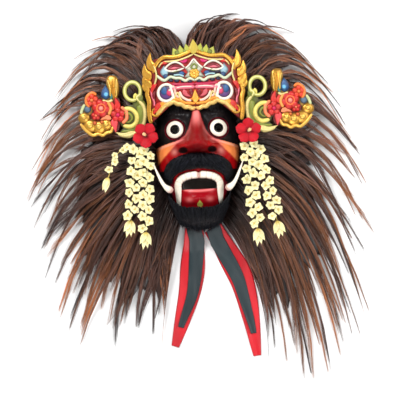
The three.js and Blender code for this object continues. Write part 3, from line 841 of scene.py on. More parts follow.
def fine_carving(x, y):
    """Lids, nostrils, folds beside the nose, the tongue's groove and the cut strokes of the brows."""
    side = np.abs(x)
    away = np.hypot(side - EYE_X, y - EYE_Y)
    lids = 2.6 * ridge(away, LID_RING, 1.8) - 1.4 * ridge(away, 16.2, 0.9)
    pupil = -0.8 * ease(9.4, 8.2, away)
    nostril = -8 * swell(side, y, 25, 15, 6.5, 4.5) + 3.0 * swell(side, y, 31, 23, 5, 6)
    crease = 2.0 * ridge(side, 18, 2.6) * ease(18, 24, y) * ease(44, 32, y)
    bulb = 1.2 * swell(side, y, 0, 33, 13, 12) - crease
    fold = -2.4 * ridge(y, 31 - 0.34 * (side - 30), 2.2) * ease(24, 34, side) * ease(74, 60, side)
    tongue = -1.4 * ridge(x, 0, 4.0) * swell(0, y, 0, -72, 1, 9) + 2.0 * swell(side, y, 15, -68, 8, 7)
    strokes = np.sin(side * 1.15 + 0.35 * y + 1.3 * np.sin(0.11 * y))
    hairs = strokes * ease(72, 84, y) * ease(104, 92, y) * ease(14, 22, side)
    wrinkle = np.sin(y * 0.95 + 0.05 * x**2) * ease(9, 3, side) * ease(70, 78, y) * ease(96, 88, y)
    return lids + pupil + nostril + bulb + fold + tongue + 0.5 * hairs + 0.3 * wrinkle


def carved_front(x, y):
    """How high the finished face stands at a place."""
    out = outness(x, y)
    return dome(out) + (broad_carving(x, y) + fine_carving(x, y)) * ease(1, 0.88, out)


def hollow_front(x, y, out):
    """How high the hollow behind the face reaches, with room for the wearer's nose."""
    shrink = (FACE_DEPTH - FACE_WALL) / FACE_DEPTH
    return dome(out) * shrink + 14 * swell(x, y, 0, 35, 16, 30) * ease(1, 0.8, out)


def egg_places(across, along, reach):
    """Where points of the unit circle land on the egg grown by reach."""
    out = np.hypot(across, along)
    scale = np.full_like(out, FACE_HALF)
    for _ in range(14):
        here = outness(across * scale, along * scale + FACE_CENTRE_Y, reach)
        scale *= np.where(out > 0, out / np.maximum(here, TINY), 1)
    return across * scale, along * scale + FACE_CENTRE_Y


def egg_mesh(name, rings, around, reach, height, base):
    """A closed dome of rings over the egg outline."""
    shares = np.sin(np.linspace(0, math.pi / 2, rings)[1:])
    angle = np.linspace(0, 2 * math.pi, around, endpoint=False)
    circle = shares[:, None]
    x, y = egg_places(circle * np.sin(angle), circle * np.cos(angle), reach)
    z = height(x, y, np.broadcast_to(circle, x.shape))
    top = np.dstack([x, y, z]).reshape(-1, 3)
    rim = np.column_stack([x[-1], y[-1], np.full(around, base)])
    pole = [0, FACE_CENTRE_Y, float(height(np.zeros(1), np.full(1, FACE_CENTRE_Y), np.zeros(1))[0])]
    places = np.vstack([top, rim, pole, [0, FACE_CENTRE_Y, base]])
    rows = len(shares) + 1
    first, last = np.arange(around), (rows - 1) * around + np.arange(around)
    pole_at, floor_at = rows * around, rows * around + 1
    fans = [
        np.stack([np.roll(first, -1), first, np.full(around, pole_at)], -1),
        np.stack([last, np.roll(last, -1), np.full(around, floor_at)], -1),
    ]
    kit = Kit()
    kit.add(places, [grid_faces(rows, around, True), *fans])
    return solid_mesh(name, kit)


def solid_mesh(name, kit):
    mesh = kit_mesh(name, kit)
    face_outward(mesh)
    return mesh


def carve(block, cutters):
    """The block's mesh with each cutter taken out of it."""
    body = bpy.data.objects.new("block", block)
    bpy.context.scene.collection.objects.link(body)
    tools = []
    for number, cutter in enumerate(cutters):
        tool = bpy.data.objects.new(f"cutter_{number}", cutter)
        bpy.context.scene.collection.objects.link(tool)
        cut = body.modifiers.new(tool.name, "BOOLEAN")
        cut.object, cut.operation, cut.solver = tool, "DIFFERENCE", "EXACT"
        tools.append(tool)
    bpy.context.view_layer.update()
    carved = bpy.data.meshes.new_from_object(body.evaluated_get(bpy.context.evaluated_depsgraph_get()))
    for made in [body, *tools]:
        bpy.data.objects.remove(made)
    return carved


def upright_bar(outline, low, high):
    """A straight bar over a closed outline."""
    kit = Kit()
    count = len(outline)
    places = np.vstack([np.column_stack([outline, np.full(count, level)]) for level in (low, high)])
    ends = [np.arange(count)[None, ::-1], count + np.arange(count)[None]]
    kit.add(places, [grid_faces(2, count, True), *ends])
    return solid_mesh("bar", kit)


def throat_outline():
    """The open mouth behind the teeth, flat below and arched above."""
    arch = np.linspace(THROAT_HALF, -THROAT_HALF, 25)
    roof = THROAT_TOP - THROAT_ARCH + THROAT_ARCH * (1 - (arch / THROAT_HALF) ** 2)
    floor = [[-THROAT_HALF, THROAT_FLOOR], [THROAT_HALF, THROAT_FLOOR]]
    return np.vstack([floor, np.column_stack([arch, roof])])


def face_marks(x, y, z, normal_z):
    """The painted areas of the face, most of them as distances in from their edges."""
    side, out = np.abs(x), outness(x, y)

    # black patches round the eyes, between the nose and a line below the lids, and the cheek streaks
    nose_side = np.interp(y, [30, 35, 42, 52, 70, 88, 100], [38, 30, 21, 15, 9.5, 4.5, 3])
    below_eye = np.interp(side, [22, 33, 46, 78], [38, 34, 30.5, 22])
    patch = np.minimum(side - nose_side, y - below_eye)
    under_cheek = 30 - 0.95 * (side - 33)
    cheek = np.minimum(np.minimum(below_eye - y, y - under_cheek), side - 27)
    eye = np.hypot(side - EYE_X, y - EYE_Y)

    # painted rose highlight down the ridge of the nose, along its edges, below the lids and beside each
    # nostril
    bridge = ease(1.1, 0.3, side / (nose_side + 0.5)) * ease(50, 78, y) * ease(108, 98, y)
    nose_edge = ridge(side - nose_side, -2.6, 2.0) * ease(30, 36, y) * ease(78, 62, y)
    lid_line = ridge(y - below_eye, -2.8, 2.2) * ease(20, 27, side) * ease(78, 66, side)
    rose = np.maximum(0.95 * bridge, np.maximum(0.3 * nose_edge, 0.72 * lid_line))
    rose = np.maximum(rose, 0.6 * swell(side, y, 40, 14, 5, 5))

    # nostrils painted dark as shade, jaw, lips and tongue, with painted highlights on the tongue and the
    # sprig painted on its tip
    nostril = 1 - np.hypot((side - 25) / 8.0, (y - 15.5) / 4.8)
    jaw = np.maximum(np.minimum(side - 48 - 0.08 * (y + 60), -18 - y), -85 - y)
    lip = np.minimum(np.minimum(side - 43, 51 - side), -32 - y)
    tongue = np.minimum(np.minimum(34 - side, -51 - y), y + 87)
    # painted highlights: a light line along the top of the tongue and a spot on each of its bulges
    light = 0.8 * ridge(y - 0.004 * x**2, -55.0, 1.9) * ease(31, 24, side)
    light = np.maximum(light, 0.5 * swell(side, y, 18, -70, 5.5, 4))
    sprig = 1 - np.hypot(x / (1.2 + 4.2 * ease(-70, -80, y)), (y + 77) / 6.5)

    # the openings and their walls, which stand behind the front of the face, painted near black as shade
    inside_throat = np.minimum(THROAT_HALF + 6 - side, np.minimum(-28 - y, y - THROAT_FLOOR))
    peephole = EYE_HOLE + 0.2 - eye
    front = dome(out) + broad_carving(x, y) * ease(1, 0.88, out)
    wall = np.where((z < front - 3.0) & (out < 0.96), 5.0, -5.0)
    cavity = np.maximum(np.maximum(inside_throat, peephole), np.where(normal_z < 0.35, wall, -5.0))

    # painted shade in the sockets, round the rim, on the lower nose, under it and beside its tip
    hollow = swell(side, y, EYE_X, EYE_Y, 24, 22) + ease(0.86, 1.0, out)
    hollow = hollow + 0.9 * swell(x, y, 0, 14, 22, 6) + 0.5 * swell(side, y, 33, 12, 10, 5)
    hollow = hollow + 0.62 * swell(x, y, 0, 38, 15, 24)
    shade = np.clip(0.7 * hollow, 0, 0.9) * (eye > LID_RING + 0.5)
    return {
        "patch": patch, "cheek": cheek, "cheek_out": ease(30, 54, side), "eye": eye, "rose": rose,
        "nostril": nostril * 5, "jaw": jaw, "lip": lip, "tongue": tongue, "tongue_highlight": light,
        "sprig": sprig * 4, "cavity": cavity, "shade": shade,
    }


INSIDE_TOP = 0.101  # the highest place of the hollow's wall, in metres on the frame


def build_face(paints):
    """The carved block, hollowed from behind, with both peepholes and the mouth cut right through."""
    block = egg_mesh("carved_face", FACE_RINGS, FACE_ROUND, 0.0, lambda x, y, _: carved_front(x, y), 0.0)
    hollow = egg_mesh("hollow", HOLLOW_RINGS, HOLLOW_ROUND, -FACE_WALL, hollow_front, -2.0)
    holes = [upright_bar(ring(side * EYE_X, EYE_Y, EYE_HOLE, 40), 20, 260) for side in SIDES.values()]
    mesh = carve(block, [hollow, *holes, upright_bar(throat_outline(), 40, 200)])
    mesh.materials.clear()
    lay_marks(mesh, face_marks(*corner_places(mesh).T, read_rows(mesh.vertices, "normal")[:, 2]))
    facing, middles = read_rows(mesh.polygons, "normal"), read_rows(mesh.polygons, "center")
    behind = (facing[:, 2] < -0.05) & (middles[:, 2] < INSIDE_TOP)
    mesh.polygons.foreach_set("material_index", behind.astype(np.int32))
    mesh.shade_smooth()
    mesh.set_sharp_from_angle(angle=math.radians(50))
    put_on_frame("carved_face", mesh, [lacquered_paint(paints), raw_wood()], ["face"])


# ---- teeth and tusks ----
TEETH_HALF, TEETH_ARCH, TEETH_TURN, TEETH_TIP, TEETH_WIDTH, TEETH_RISE = 37.0, -27.0, -48.0, -84.0, 11.0, 8.0
FRONT_TEETH, TEETH_COLUMNS, TEETH_ROWS = 10, 331, 17
FANG_SHARE = 0.2  # the share of the arch's whole line that each fang takes


def arch_place(t):
    """The middle line of the upper teeth, from one fang's tip over the arch to the other's."""
    side = np.where(t < 0.5, -1.0, 1.0)
    down = np.maximum(0, np.abs(t - 0.5) * 2 - 0.6) / 0.4
    angle = np.clip((t - 0.5) / 0.3, -1, 1) * math.pi / 2
    rise = (TEETH_ARCH - TEETH_TURN) * np.abs(np.cos(angle)) ** 0.75
    arch_x = TEETH_HALF * np.sign(angle) * np.abs(np.sin(angle)) ** 0.85
    x = np.where(down > 0, side * TEETH_HALF, arch_x)
    y = np.where(down > 0, TEETH_TURN - down * (TEETH_TURN - TEETH_TIP), TEETH_TURN + rise)
    return x, y, down


def build_teeth(paints):
    """One carved arch with rounded teeth parted by grooves, a notch in the middle and a fang at each end."""
    size = (TEETH_COLUMNS, TEETH_ROWS)
    t, across = np.meshgrid(steps(size[0]), np.linspace(-1, 1, size[1]), indexing="ij")
    x, y, down = arch_place(t)
    before_x, before_y, _ = arch_place(np.maximum(0, t - 0.02))
    after_x, after_y, _ = arch_place(np.minimum(1, t + 0.02))
    run = np.hypot(after_x - before_x, after_y - before_y)

    # grooves between the front teeth, and the notch in the middle
    place = np.clip((t - FANG_SHARE) / (1 - 2 * FANG_SHARE), 0, 1) * FRONT_TEETH
    row_of_teeth = (t > FANG_SHARE) & (t < 1 - FANG_SHARE)
    groove = np.where(row_of_teeth, ridge(place, np.round(place), 0.09), 0)
    notch = ridge(t, 0.5, 0.010)

    # the teeth's width in plan, and their round section
    half = TEETH_WIDTH / 2 * (1.16 - 0.74 * down**1.5)
    half = half * (1 - 0.10 * groove * (across < 0)) * (1 - 0.35 * notch * (across > 0))
    half = half * np.clip((1 - down) * 12, 0.06, 1) ** 0.5
    shift = across * half
    px = x - (after_y - before_y) / run * shift
    py = y + (after_x - before_x) / run * shift
    section = 0.30 + 0.70 * np.sqrt(np.maximum(0, 1 - across**2)) ** 0.8
    crest = TEETH_RISE * section * (1 - 0.16 * groove) * (1 - 0.4 * notch) * (1 - 0.35 * down**2)
    shelf = dome(outness(px, py))
    floor = np.dstack([px[:, [-1, 0]], py[:, [-1, 0]], shelf[:, [-1, 0]] - 6])
    places = np.concatenate([np.dstack([px, py, shelf + crest]), floor], 1)

    # reddish staining and painted shade in the grooves, the middle notch and along both edges of the arch
    stain = 0.28 * groove + 0.9 * notch + 0.5 * ease(0.75, 1.0, across) + 0.3 * ease(0.7, 1, -across)
    stain = np.concatenate([np.clip(stain, 0, 1), np.ones((TEETH_COLUMNS, 2))], 1)
    kit = Kit()
    kit.add(places, tube_faces(TEETH_COLUMNS, TEETH_ROWS + 2), stain=stain.ravel())
    make_piece("tooth_arch", kit, ivory_paint(paints), ["upper_teeth"])


TUSK_LINE, TUSK_RADIUS, TUSK_STEPS = [(47, -54, 88), (58, -46, 91), (66, -34, 92), (78, -6, 84)], 6.2, 60


def build_tusks(paints):
    """A boar's tusk curving up from each corner of the mouth, with faint growth rings."""
    material = bpy.data.materials.get("Ivory paint") or ivory_paint(paints)
    for name, side in SIDES.items():
        line = evenly(np.array(TUSK_LINE, float) * [side, 1, 1], TUSK_STEPS)
        t = steps(TUSK_STEPS)
        taper = between(1.0, 0.62, ease(0.08, 0.35, t)) * (1 - 0.80 * t**1.6)
        radius = TUSK_RADIUS * taper * (1 + 0.02 * np.sin(t * 90)) * np.minimum(1, 0.35 + t * 9) ** 0.5
        kit = Kit()
        # reddish staining and painted shade at the tusk's foot, fainter at its tip
        add_tube(kit, line, radius, 20, stain=np.maximum(ease(0.2, 0.0, t), 0.25 * ease(0.8, 1.0, t)))
        make_piece(f"boar_tusk_{name}", kit, material, [f"tusk_{name}"])


# ---- moustache and beard ----
MOUSTACHE_HALF, MOUSTACHE_TOP, MOUSTACHE_CORNER = 54.0, 11.0, -36.0
MOUSTACHE_WIDTH, MOUSTACHE_RISE, MOUSTACHE_HAIRS = 27.0, 15.0, 1500
BEARD_HALF, BEARD_TOP, BEARD_BOTTOM, BEARD_HORN = 55.0, -84.0, -124.0, 26.0
BEARD_RISE, BEARD_FLOOR, BEARD_HAIRS = 13.0, 17.5, 1500
FUR_POINTS = 6


def moustache_place(u, v, lift=0.0):
    """A place on the moustache's outer skin: u runs from end to end and v from its lower to upper edge."""
    angle = (u - 0.5) * math.pi
    cosine = np.maximum(0, np.cos(angle))
    taper = 0.45 + 0.55 * cosine**0.5
    x = np.sin(angle) * (MOUSTACHE_HALF + (v - 0.5) * 14)
    middle = between(MOUSTACHE_CORNER, MOUSTACHE_TOP - MOUSTACHE_WIDTH / 2, cosine**0.8)
    y = middle + (v - 0.5) * MOUSTACHE_WIDTH * taper
    bulge = np.sqrt(np.maximum(0, 1 - (1.9 * (v - 0.5)) ** 2))
    skin = dome(outness(x, y))
    return np.stack([x, y, skin + 3 + MOUSTACHE_RISE * bulge * taper + lift], -1), skin


def beard_place(side, v, lift=0.0):
    """A place on the beard's outer skin: side runs from -1 to 1 and v from its top to its lower edge."""
    x = side * BEARD_HALF * (1 - 0.28 * np.clip(v, 0, 1) ** 1.6)
    y = between(BEARD_TOP + BEARD_HORN * side**4, BEARD_BOTTOM, v) + 14 * v * side**2
    skin = between(dome(outness(x, y, 9)), 30, ease(0.55, 1, v))
    return np.stack([x, y, skin + BEARD_RISE * (1 - 0.35 * side**2) + lift], -1), skin


def moustache_kit(rng):
    """A pad of felt bent over the lip, with hair combed down and out to the moustache's two ends."""
    kit = Kit()
    u, v = np.meshgrid(np.linspace(0.01, 0.99, 70), steps(14), indexing="ij")
    top, skin = moustache_place(u, v, -2.5)
    add_blanket(kit, top, skin - 3, along=0.5, warm=0.1, tint=0.8)

    count, share = MOUSTACHE_HAIRS, steps(FUR_POINTS)
    start, reach = rng.uniform(-0.43, 0.43, count), rng.uniform(0.5, 1.0, count)
    outward = np.clip(np.abs(start) / 0.25, 0, 1)
    lean = np.sign(start) * between(0.02, 0.17, outward) + rng.normal(0, 0.02, count)
    row, drop = rng.uniform(0.12, 1.0, count), between(0.55, 0.10, outward) * reach
    u = 0.5 + start[:, None] + (lean * reach)[:, None] * share
    v = np.clip(row[:, None] - drop[:, None] * share + 0.25 * (drop * outward)[:, None], -0.03, 1.02)
    lift = rng.uniform(-1.5, 1.2, count)[:, None] + 1.4 * np.sin(share * math.pi)
    lift = lift + rng.normal(0, 0.3, (count, FUR_POINTS))
    lines, _ = moustache_place(np.clip(u, 0.004, 0.996), v, lift)
    tint = rng.uniform(0.5, 1.8, (count, 1))
    width = rng.uniform(0.6, 1.1, count)
    add_strands(kit, lines, width, along=share[None], warm=rng.uniform(0, 0.9, (count, 1)), tint=tint)
    return kit


def beard_kit(rng):
    """A pad of felt under the chin, with short hair combed down over its lower edge."""
    kit = Kit()
    side, v = np.meshgrid(np.linspace(-1, 1, 50), steps(16), indexing="ij")
    top, skin = beard_place(side, v, -2.5)
    add_blanket(kit, top, np.minimum(BEARD_FLOOR, skin - 12) + 1, along=0.5, warm=0.1, tint=0.8)

    count, share = BEARD_HAIRS, steps(FUR_POINTS)
    side, start = rng.uniform(-1.0, 1.0, count), rng.uniform(-0.05, 0.62, count)
    reach = rng.uniform(0.4, 0.62, count)
    v = start[:, None] + reach[:, None] * share
    across = side[:, None] * (1 - 0.05 * share) + rng.normal(0, 0.02, (count, 1)) * share
    lift = rng.uniform(-1.0, 1.6, count)[:, None] + 1.5 * np.sin(share * math.pi) - 6 * ease(0.95, 1.2, v)
    lines, _ = beard_place(across, np.clip(v, -0.04, 1.22), lift)
    width, warm = rng.uniform(0.6, 1.15, count), rng.uniform(0, 0.7, (count, 1))
    add_strands(kit, lines, width, along=share[None], warm=warm, tint=rng.uniform(0.5, 1.6, (count, 1)))
    return kit


def build_fur(hair):
    """A thick black moustache and a short beard, each a pad of felt under combed hair."""
    rng = np.random.default_rng(hair.seed)
    material = hair_finish("Black fur", hair.fur, hair.fur, tinted(hair.fur, 5), hair.fur, 0.16)
    make_piece("moustache_hair", moustache_kit(rng), material, ["moustache"], outward=False)
    make_piece("beard_hair", beard_kit(rng), material, ["beard"], outward=False)


# ---- tiara ----
CROWN_BEND, CROWN_Z, CROWN_FOOT, CROWN_LEAN, CROWN_PLATE = 140.0, 90.0, 90.0, 0.14, 5.0
WING_ROOT, WING_FALL, WING_PLATE, LEATHER_GAP = 89.0, 0.12, 5.0, 0.3
MIDDLE, BOTH = (1,), (-1, 1)


def crown_back(x, y):
    """How high the back of the tiara's plate stands, bent round the brow and leaning back."""
    return CROWN_Z + CROWN_LEAN * (y - CROWN_FOOT) - x**2 / (2 * CROWN_BEND)


def crown_front(x, y):
    return crown_back(x, y) + CROWN_PLATE


def wing_back(x, y):
    """How high the back of a wing stands, just under the tiara and falling away outwards."""
    return crown_back(WING_ROOT, y) - WING_PLATE - LEATHER_GAP - WING_FALL * (np.abs(x) - WING_ROOT)


def wing_front(x, y):
    return wing_back(x, y) + WING_PLATE


def mirrored(line, side):
    """A line drawn for the right side, laid on either side."""
    return np.asarray(line, float) * [side, 1]


def both_halves(half):
    """The whole outline of a bit drawn from the middle line round its right half and back to that line."""
    return np.vstack([half, mirrored(half, -1)[::-1][1:-1]])


class Leather:
    """Bits of painted leather on one surface, each drawn for the right side and laid on the sides given."""

    def __init__(self, surface, depth, sides):
        self.kit, self.surface, self.depth, self.sides = Kit(), surface, depth, sides

    def bead(
        self, knots, width, height, paint, gilt=0.0, shares=rounded, groove=0.0, rise=0.0, count=48,
        sides=None,
    ):
        """A raised strip along a smooth line."""
        for side in sides or self.sides:
            line, share = evenly(mirrored(knots, side), count), shares(count)
            add_band(
                self.kit, line, width * share, height * (0.55 + 0.45 * share), self.surface, self.depth,
                groove=groove, rise=rise, paint=paint, gilt=gilt,
            )

    def leaf(self, knots, width, height, paint, gilt=0.0, groove=0.35, rise=0.0, sides=None):
        """A strip that is widest near its foot and pointed at its tip, with a groove down its middle."""
        self.bead(knots, width, height, paint, gilt, leafy, groove, rise, sides=sides)

    def boss(self, outline, height, paint, rise=0.0, gilt=0.0, sides=None):
        """A cushion over a closed outline."""
        for side in sides or self.sides:
            add_pad(
                self.kit, mirrored(outline, side), height, self.surface, self.depth,
                rise=rise, paint=paint, gilt=gilt,
            )

    def lozenge(self, knots, count, height, paint, rise, gilt=0.0):
        """A cushion with a smooth outline through knots, of which the last is the first again."""
        self.boss(evenly(knots, count)[:-1], height, paint, rise, gilt)

    def hoop(self, x, y, radius, width, height, paint, rise):
        """A raised ring."""
        for side in self.sides:
            line = ring(side * x, y, radius, 48)
            add_band(
                self.kit, np.vstack([line, line[:2]]), width, height, self.surface, self.depth,
                rise=rise, paint=paint, gilt=0.0,
            )

    def rosette(self, x, y, radius, petals, height, paint, heart, rise, gilt=0.0, sides=None):
        """Round petals overlapping about a raised heart."""
        for side in sides or self.sides:
            for number in range(petals):
                angle = 2 * math.pi * (number + 0.25) / petals
                middle = (x + 0.56 * radius * math.cos(angle), y + 0.56 * radius * math.sin(angle))
                outline = ring(*middle, radius * 0.46, 22)
                self.boss(outline, height * (1 + 0.08 * (number % 2)), paint, rise, gilt, (side,))
            self.boss(ring(x, y, radius * 0.32, 20), height * 1.5, heart, rise, 0.0, (side,))


def add_tiara_ground(hide, paints):
    """The plate that everything is raised on, and the red field inside its border."""
    plate = [
        (0, 87), (12, 88), (22, 92), (30, 97), (40, 98), (50, 96), (60, 88), (68, 79), (79, 67), (83, 84),
        (82, 104), (81, 126), (84, 144), (78, 162), (68, 176), (52, 176), (36, 181), (16, 187), (0, 190),
    ]
    field = [(0, 100), (30, 104), (62, 100), (74, 116), (72, 136), (70, 156), (60, 170), (34, 173), (0, 180)]
    ground = tinted(paints.scarlet, 0.8)
    for knots, count, height, depth, rings, middle in (
        (plate, 70, 0.8, CROWN_PLATE, 12, (0, 132)),
        (field, 60, 1.6, 1.0, 10, (0, 138)),
    ):
        add_pad(
            hide.kit, both_halves(evenly(knots, count)), height, crown_front, depth,
            rings=rings, centre=middle, paint=ground, gilt=0.0,
        )


def add_tiara_border(hide, paints):
    """Arches above, gilt leaves at the corners, upright bands at the sides and scallops below."""
    gold, cream, pink, scarlet = paints.gold, paints.cream, paints.pink, paints.scarlet
    arch = [(0, 187), (14, 182), (26, 178), (38, 177), (50, 178), (60, 173), (68, 163), (71, 152)]
    hide.bead(arch, 7, 4.5, gold, 1, rise=1.5)
    arch_line = [(0, 180), (12, 175), (26, 171), (40, 170), (54, 169), (62, 161)]
    hide.bead(arch_line, 3.2, 2.6, cream, 0.3, rise=2.5)
    for foot, tip, width in (
        ((76, 128), (88, 152), 17), ((76, 142), (86, 170), 17), ((70, 156), (75, 188), 16),
        ((80, 124), (90, 138), 11),
    ):
        middle = (between(foot[0], tip[0], 0.55) + 4, between(foot[1], tip[1], 0.5))
        hide.leaf([foot, middle, tip], width, 5.5, gold, 1, rise=2)
    hide.bead([(70, 132), (66, 146), (68, 160), (74, 170)], 3.4, 3, cream, 0.4, rise=3.5)
    upright = [(80, 128), (84, 118), (81, 104), (82, 90), (81, 76), (79, 66)]
    hide.bead(upright, 8, 4.5, gold, 1, rise=1.5)
    hide.bead([(77, 124), (75, 112), (72, 104), (72, 96)], 3.5, 3.4, pink, rise=2)
    hide.leaf([(60, 102), (68, 92), (76, 80)], 11, 4.5, scarlet, rise=2)
    hide.leaf([(66, 134), (73, 128), (77, 114)], 9, 4.5, scarlet, rise=2.5)
    hide.leaf([(70, 122), (73, 112), (70, 100)], 6.5, 4, tinted(paints.maroon, 1.6), rise=2.5)
    curl = [(58, 96), (62, 86), (69, 79), (76, 82), (75, 90), (70, 91), (69, 86)]
    hide.bead(curl, 6, 4.2, gold, 1, curly, rise=2)
    amber = linear(244, 160, 58)
    scallops = [
        (0, 90), (6, 88), (12, 91), (18, 91), (24, 96), (31, 97), (38, 101), (46, 98), (54, 95), (62, 87),
        (70, 79),
    ]
    hide.bead(scallops, 8, 4.8, blended(gold, cream, 0.5), 0.6, rise=1.5, count=80)
    hide.bead([(0, 96), (10, 97), (18, 98), (25, 102), (34, 105), (44, 104)], 5, 4.4, amber, 0.5, rise=2.5)
    hide.leaf([(50, 103), (60, 96), (70, 84)], 10, 4.6, amber, 0.5, rise=1.6)


def add_finials(hide, paints):
    """The green leaves that stand on the top edge, and two round berries."""
    green = linear(176, 178, 62)
    for foot, tip, width in (
        ((27, 176), (35, 192), 17), ((20, 179), (23, 196), 14), ((9, 181), (13, 198), 14),
    ):
        middle = between(np.array(foot), np.array(tip), 0.5)
        hide.leaf([foot, middle, tip], width, 4.5, green, rise=1)
    middle_green = blended(green, paints.gold, 0.4)
    hide.leaf([(0, 180), (0.5, 192), (0, 205)], 20, 5.5, middle_green, rise=1.6, sides=MIDDLE)
    hide.boss(ring(28, 183, 5, 24), 4, tinted(paints.leaf, 0.9), 2.6)
    hide.boss(ring(15, 185, 4, 24), 3.4, tinted(paints.leaf, 1.2), 2.6)


def add_upper_cells(hide, paints):
    """Flames, blue lozenges and almonds, and the star with its rosette."""
    white, leaf = paints.ivory, paints.leaf
    flame = [(16, 158), (24, 165), (34, 168), (44, 164), (50, 157), (40, 153), (28, 154), (17, 157)]
    hide.bead(flame, 3.4, 3.6, white, rise=2.5, count=64)
    inner_flame = [(20, 158.5), (30, 164.5), (42, 161), (46, 157.5), (34, 156), (21, 158)]
    hide.boss(evenly(inner_flame, 30), 2.4, paints.pink, 1.5)
    hide.leaf([(22, 160), (33, 162), (43, 158)], 5, 3, tinted(paints.maroon, 1.6), rise=3)
    hide.lozenge([(52, 164), (59, 153), (51, 143), (44, 153), (52, 164)], 40, 3.4, paints.sky, 2.5)
    under_lozenge = [(51, 151), (55, 146), (50, 140), (45, 146), (51, 151)]
    hide.lozenge(under_lozenge, 30, 3.2, tinted(paints.blue, 0.7), 3.5)
    hide.leaf([(46, 149), (30, 150), (13, 147)], 9, 3.4, tinted(paints.navy, 0.5), groove=0, rise=2)
    hide.boss(ring(22, 148, 5.5, 24, 0.75), 3, paints.blue, 3.2)

    star = [(0, 174), (8, 163), (17, 158), (11, 150), (18, 141), (7, 141), (0, 133)]
    half_star = np.vstack([*(evenly(pair, 8)[:-1] for pair in zip(star[:-1], star[1:])), star[-1:]])
    hide.boss(both_halves(half_star), 3.4, linear(206, 206, 184), 3, 0.1, MIDDLE)
    hide.bead([(0, 172), (8, 162), (15, 156)], 3, 3, white, rise=4.5)
    hide.bead([(0, 164), (5, 158), (0, 153)], 3, 2.6, tinted(leaf, 0.9), rise=5.5)
    hide.rosette(0, 147, 9.5, 8, 3.2, paints.gold, linear(250, 206, 96), 4.5, 0.8, MIDDLE)

    hide.leaf([(11, 171), (18, 168), (25, 170)], 6, 3.2, linear(206, 30, 104), rise=2.5)
    hide.leaf([(46, 167), (54, 168), (61, 162)], 6, 3.2, paints.scarlet, rise=2.5)
    hide.leaf([(26, 155), (33, 152), (41, 150)], 4.5, 3.4, tinted(leaf, 0.6), rise=3.2)


def add_middle_bands(hide, paints):
    """A pale scalloped line, navy scallops under it, and red and pink bands."""
    line = [
        (0, 135), (8, 139), (16, 135.5), (24, 140), (33, 141), (42, 143.5), (52, 138.5), (60, 143), (66, 149),
    ]
    hide.bead(line, 5, 4, linear(214, 224, 190), rise=3, count=70)
    hide.bead([(18, 143), (26, 146), (36, 146)], 3, 3, linear(170, 206, 214), rise=4)
    for x, width in ((8, 7), (20, 7), (31, 8), (41, 7)):
        hide.boss(ring(x, 133.5 + 0.10 * x, width * 0.62, 20, 0.62), 3.2, paints.navy, 2)
    hide.bead([(0, 129.5), (20, 129.5), (40, 131)], 5, 3.2, linear(190, 34, 78), rise=2)
    hide.bead([(0, 124.5), (20, 124.5), (34, 124), (44, 122)], 6.5, 4, paints.pink, rise=2.5)
    hide.bead([(5, 125), (20, 125.6), (32, 124)], 1.8, 1.6, paints.ivory, rise=5.6)


LOOP_X, LOOP_Y = 50, 117


def add_big_loops(hide, paints):
    """The two big loops, each round a blue drop and a rose bead."""
    hide.boss(ring(LOOP_X, LOOP_Y, 13, 40), 2.6, linear(96, 62, 122), 1.5)
    hide.boss(ring(LOOP_X + 3.5, LOOP_Y + 4, 6.2, 28, 1.25), 2.4, paints.blue, 3.4)
    hide.boss(ring(LOOP_X - 5.5, LOOP_Y + 0.5, 5.6, 26, 1.2), 3.2, linear(226, 66, 110), 3.2)
    hide.boss(ring(LOOP_X - 5.5, LOOP_Y + 4, 1.8, 16), 1.5, paints.ivory, 6)
    loop = ring(LOOP_X, LOOP_Y, 14.2, 40, start=math.radians(158))
    loop = np.vstack([loop[::-1][:34], [(43.5, 130.5)]])
    hide.bead(loop, 5.2, 5, paints.ivory, rise=2.5, count=90)
    hide.bead([(40, 128), (36, 125), (33, 112), (28, 107)], 4.6, 4, linear(250, 196, 176), rise=2.5)


def add_hanging_scallops(hide, paints):
    """Scallops and gilt leaves that hang towards the middle of the brow."""
    scallop = [(27, 118), (23, 109), (15, 103), (7, 101)]
    hide.bead(scallop, 4.6, 4.4, linear(250, 214, 196), rise=2.5)
    hide.leaf([(20, 121), (16, 113), (8, 108)], 9, 3.6, linear(206, 84, 96), rise=2)
    hide.leaf([(8, 121), (6, 114), (2, 108)], 7, 3.4, tinted(paints.maroon, 1.6), rise=2)
    orange = linear(240, 140, 54)
    hide.leaf([(34, 99), (31, 106), (27, 113)], 9, 4, orange, 0.4, rise=2.2)
    hide.leaf([(0, 97), (0, 107), (0, 120)], 13, 5, linear(246, 178, 70), 0.6, rise=2.5, sides=MIDDLE)
    hide.leaf([(12, 96), (10, 101), (6, 106)], 8, 4, orange, 0.4, rise=2.2)
    hide.bead([(38, 101), (35, 109), (30, 116), (26, 106), (22, 101)], 3, 3.4, paints.cream, 0.2, rise=3.4)


def build_tiara(paints):
    """A bent leather plate with a gilt border of leaves, a red field, flames, cells, a star and big loops."""
    hide = Leather(crown_front, CROWN_PLATE, BOTH)
    for add_part in (
        add_tiara_ground, add_tiara_border, add_finials, add_upper_cells, add_middle_bands, add_big_loops,
        add_hanging_scallops,
    ):
        add_part(hide, paints)
    material = painted_leather("Painted tiara leather", 0.5)
    make_piece("tiara_leather", hide.kit, material, ["crown"])


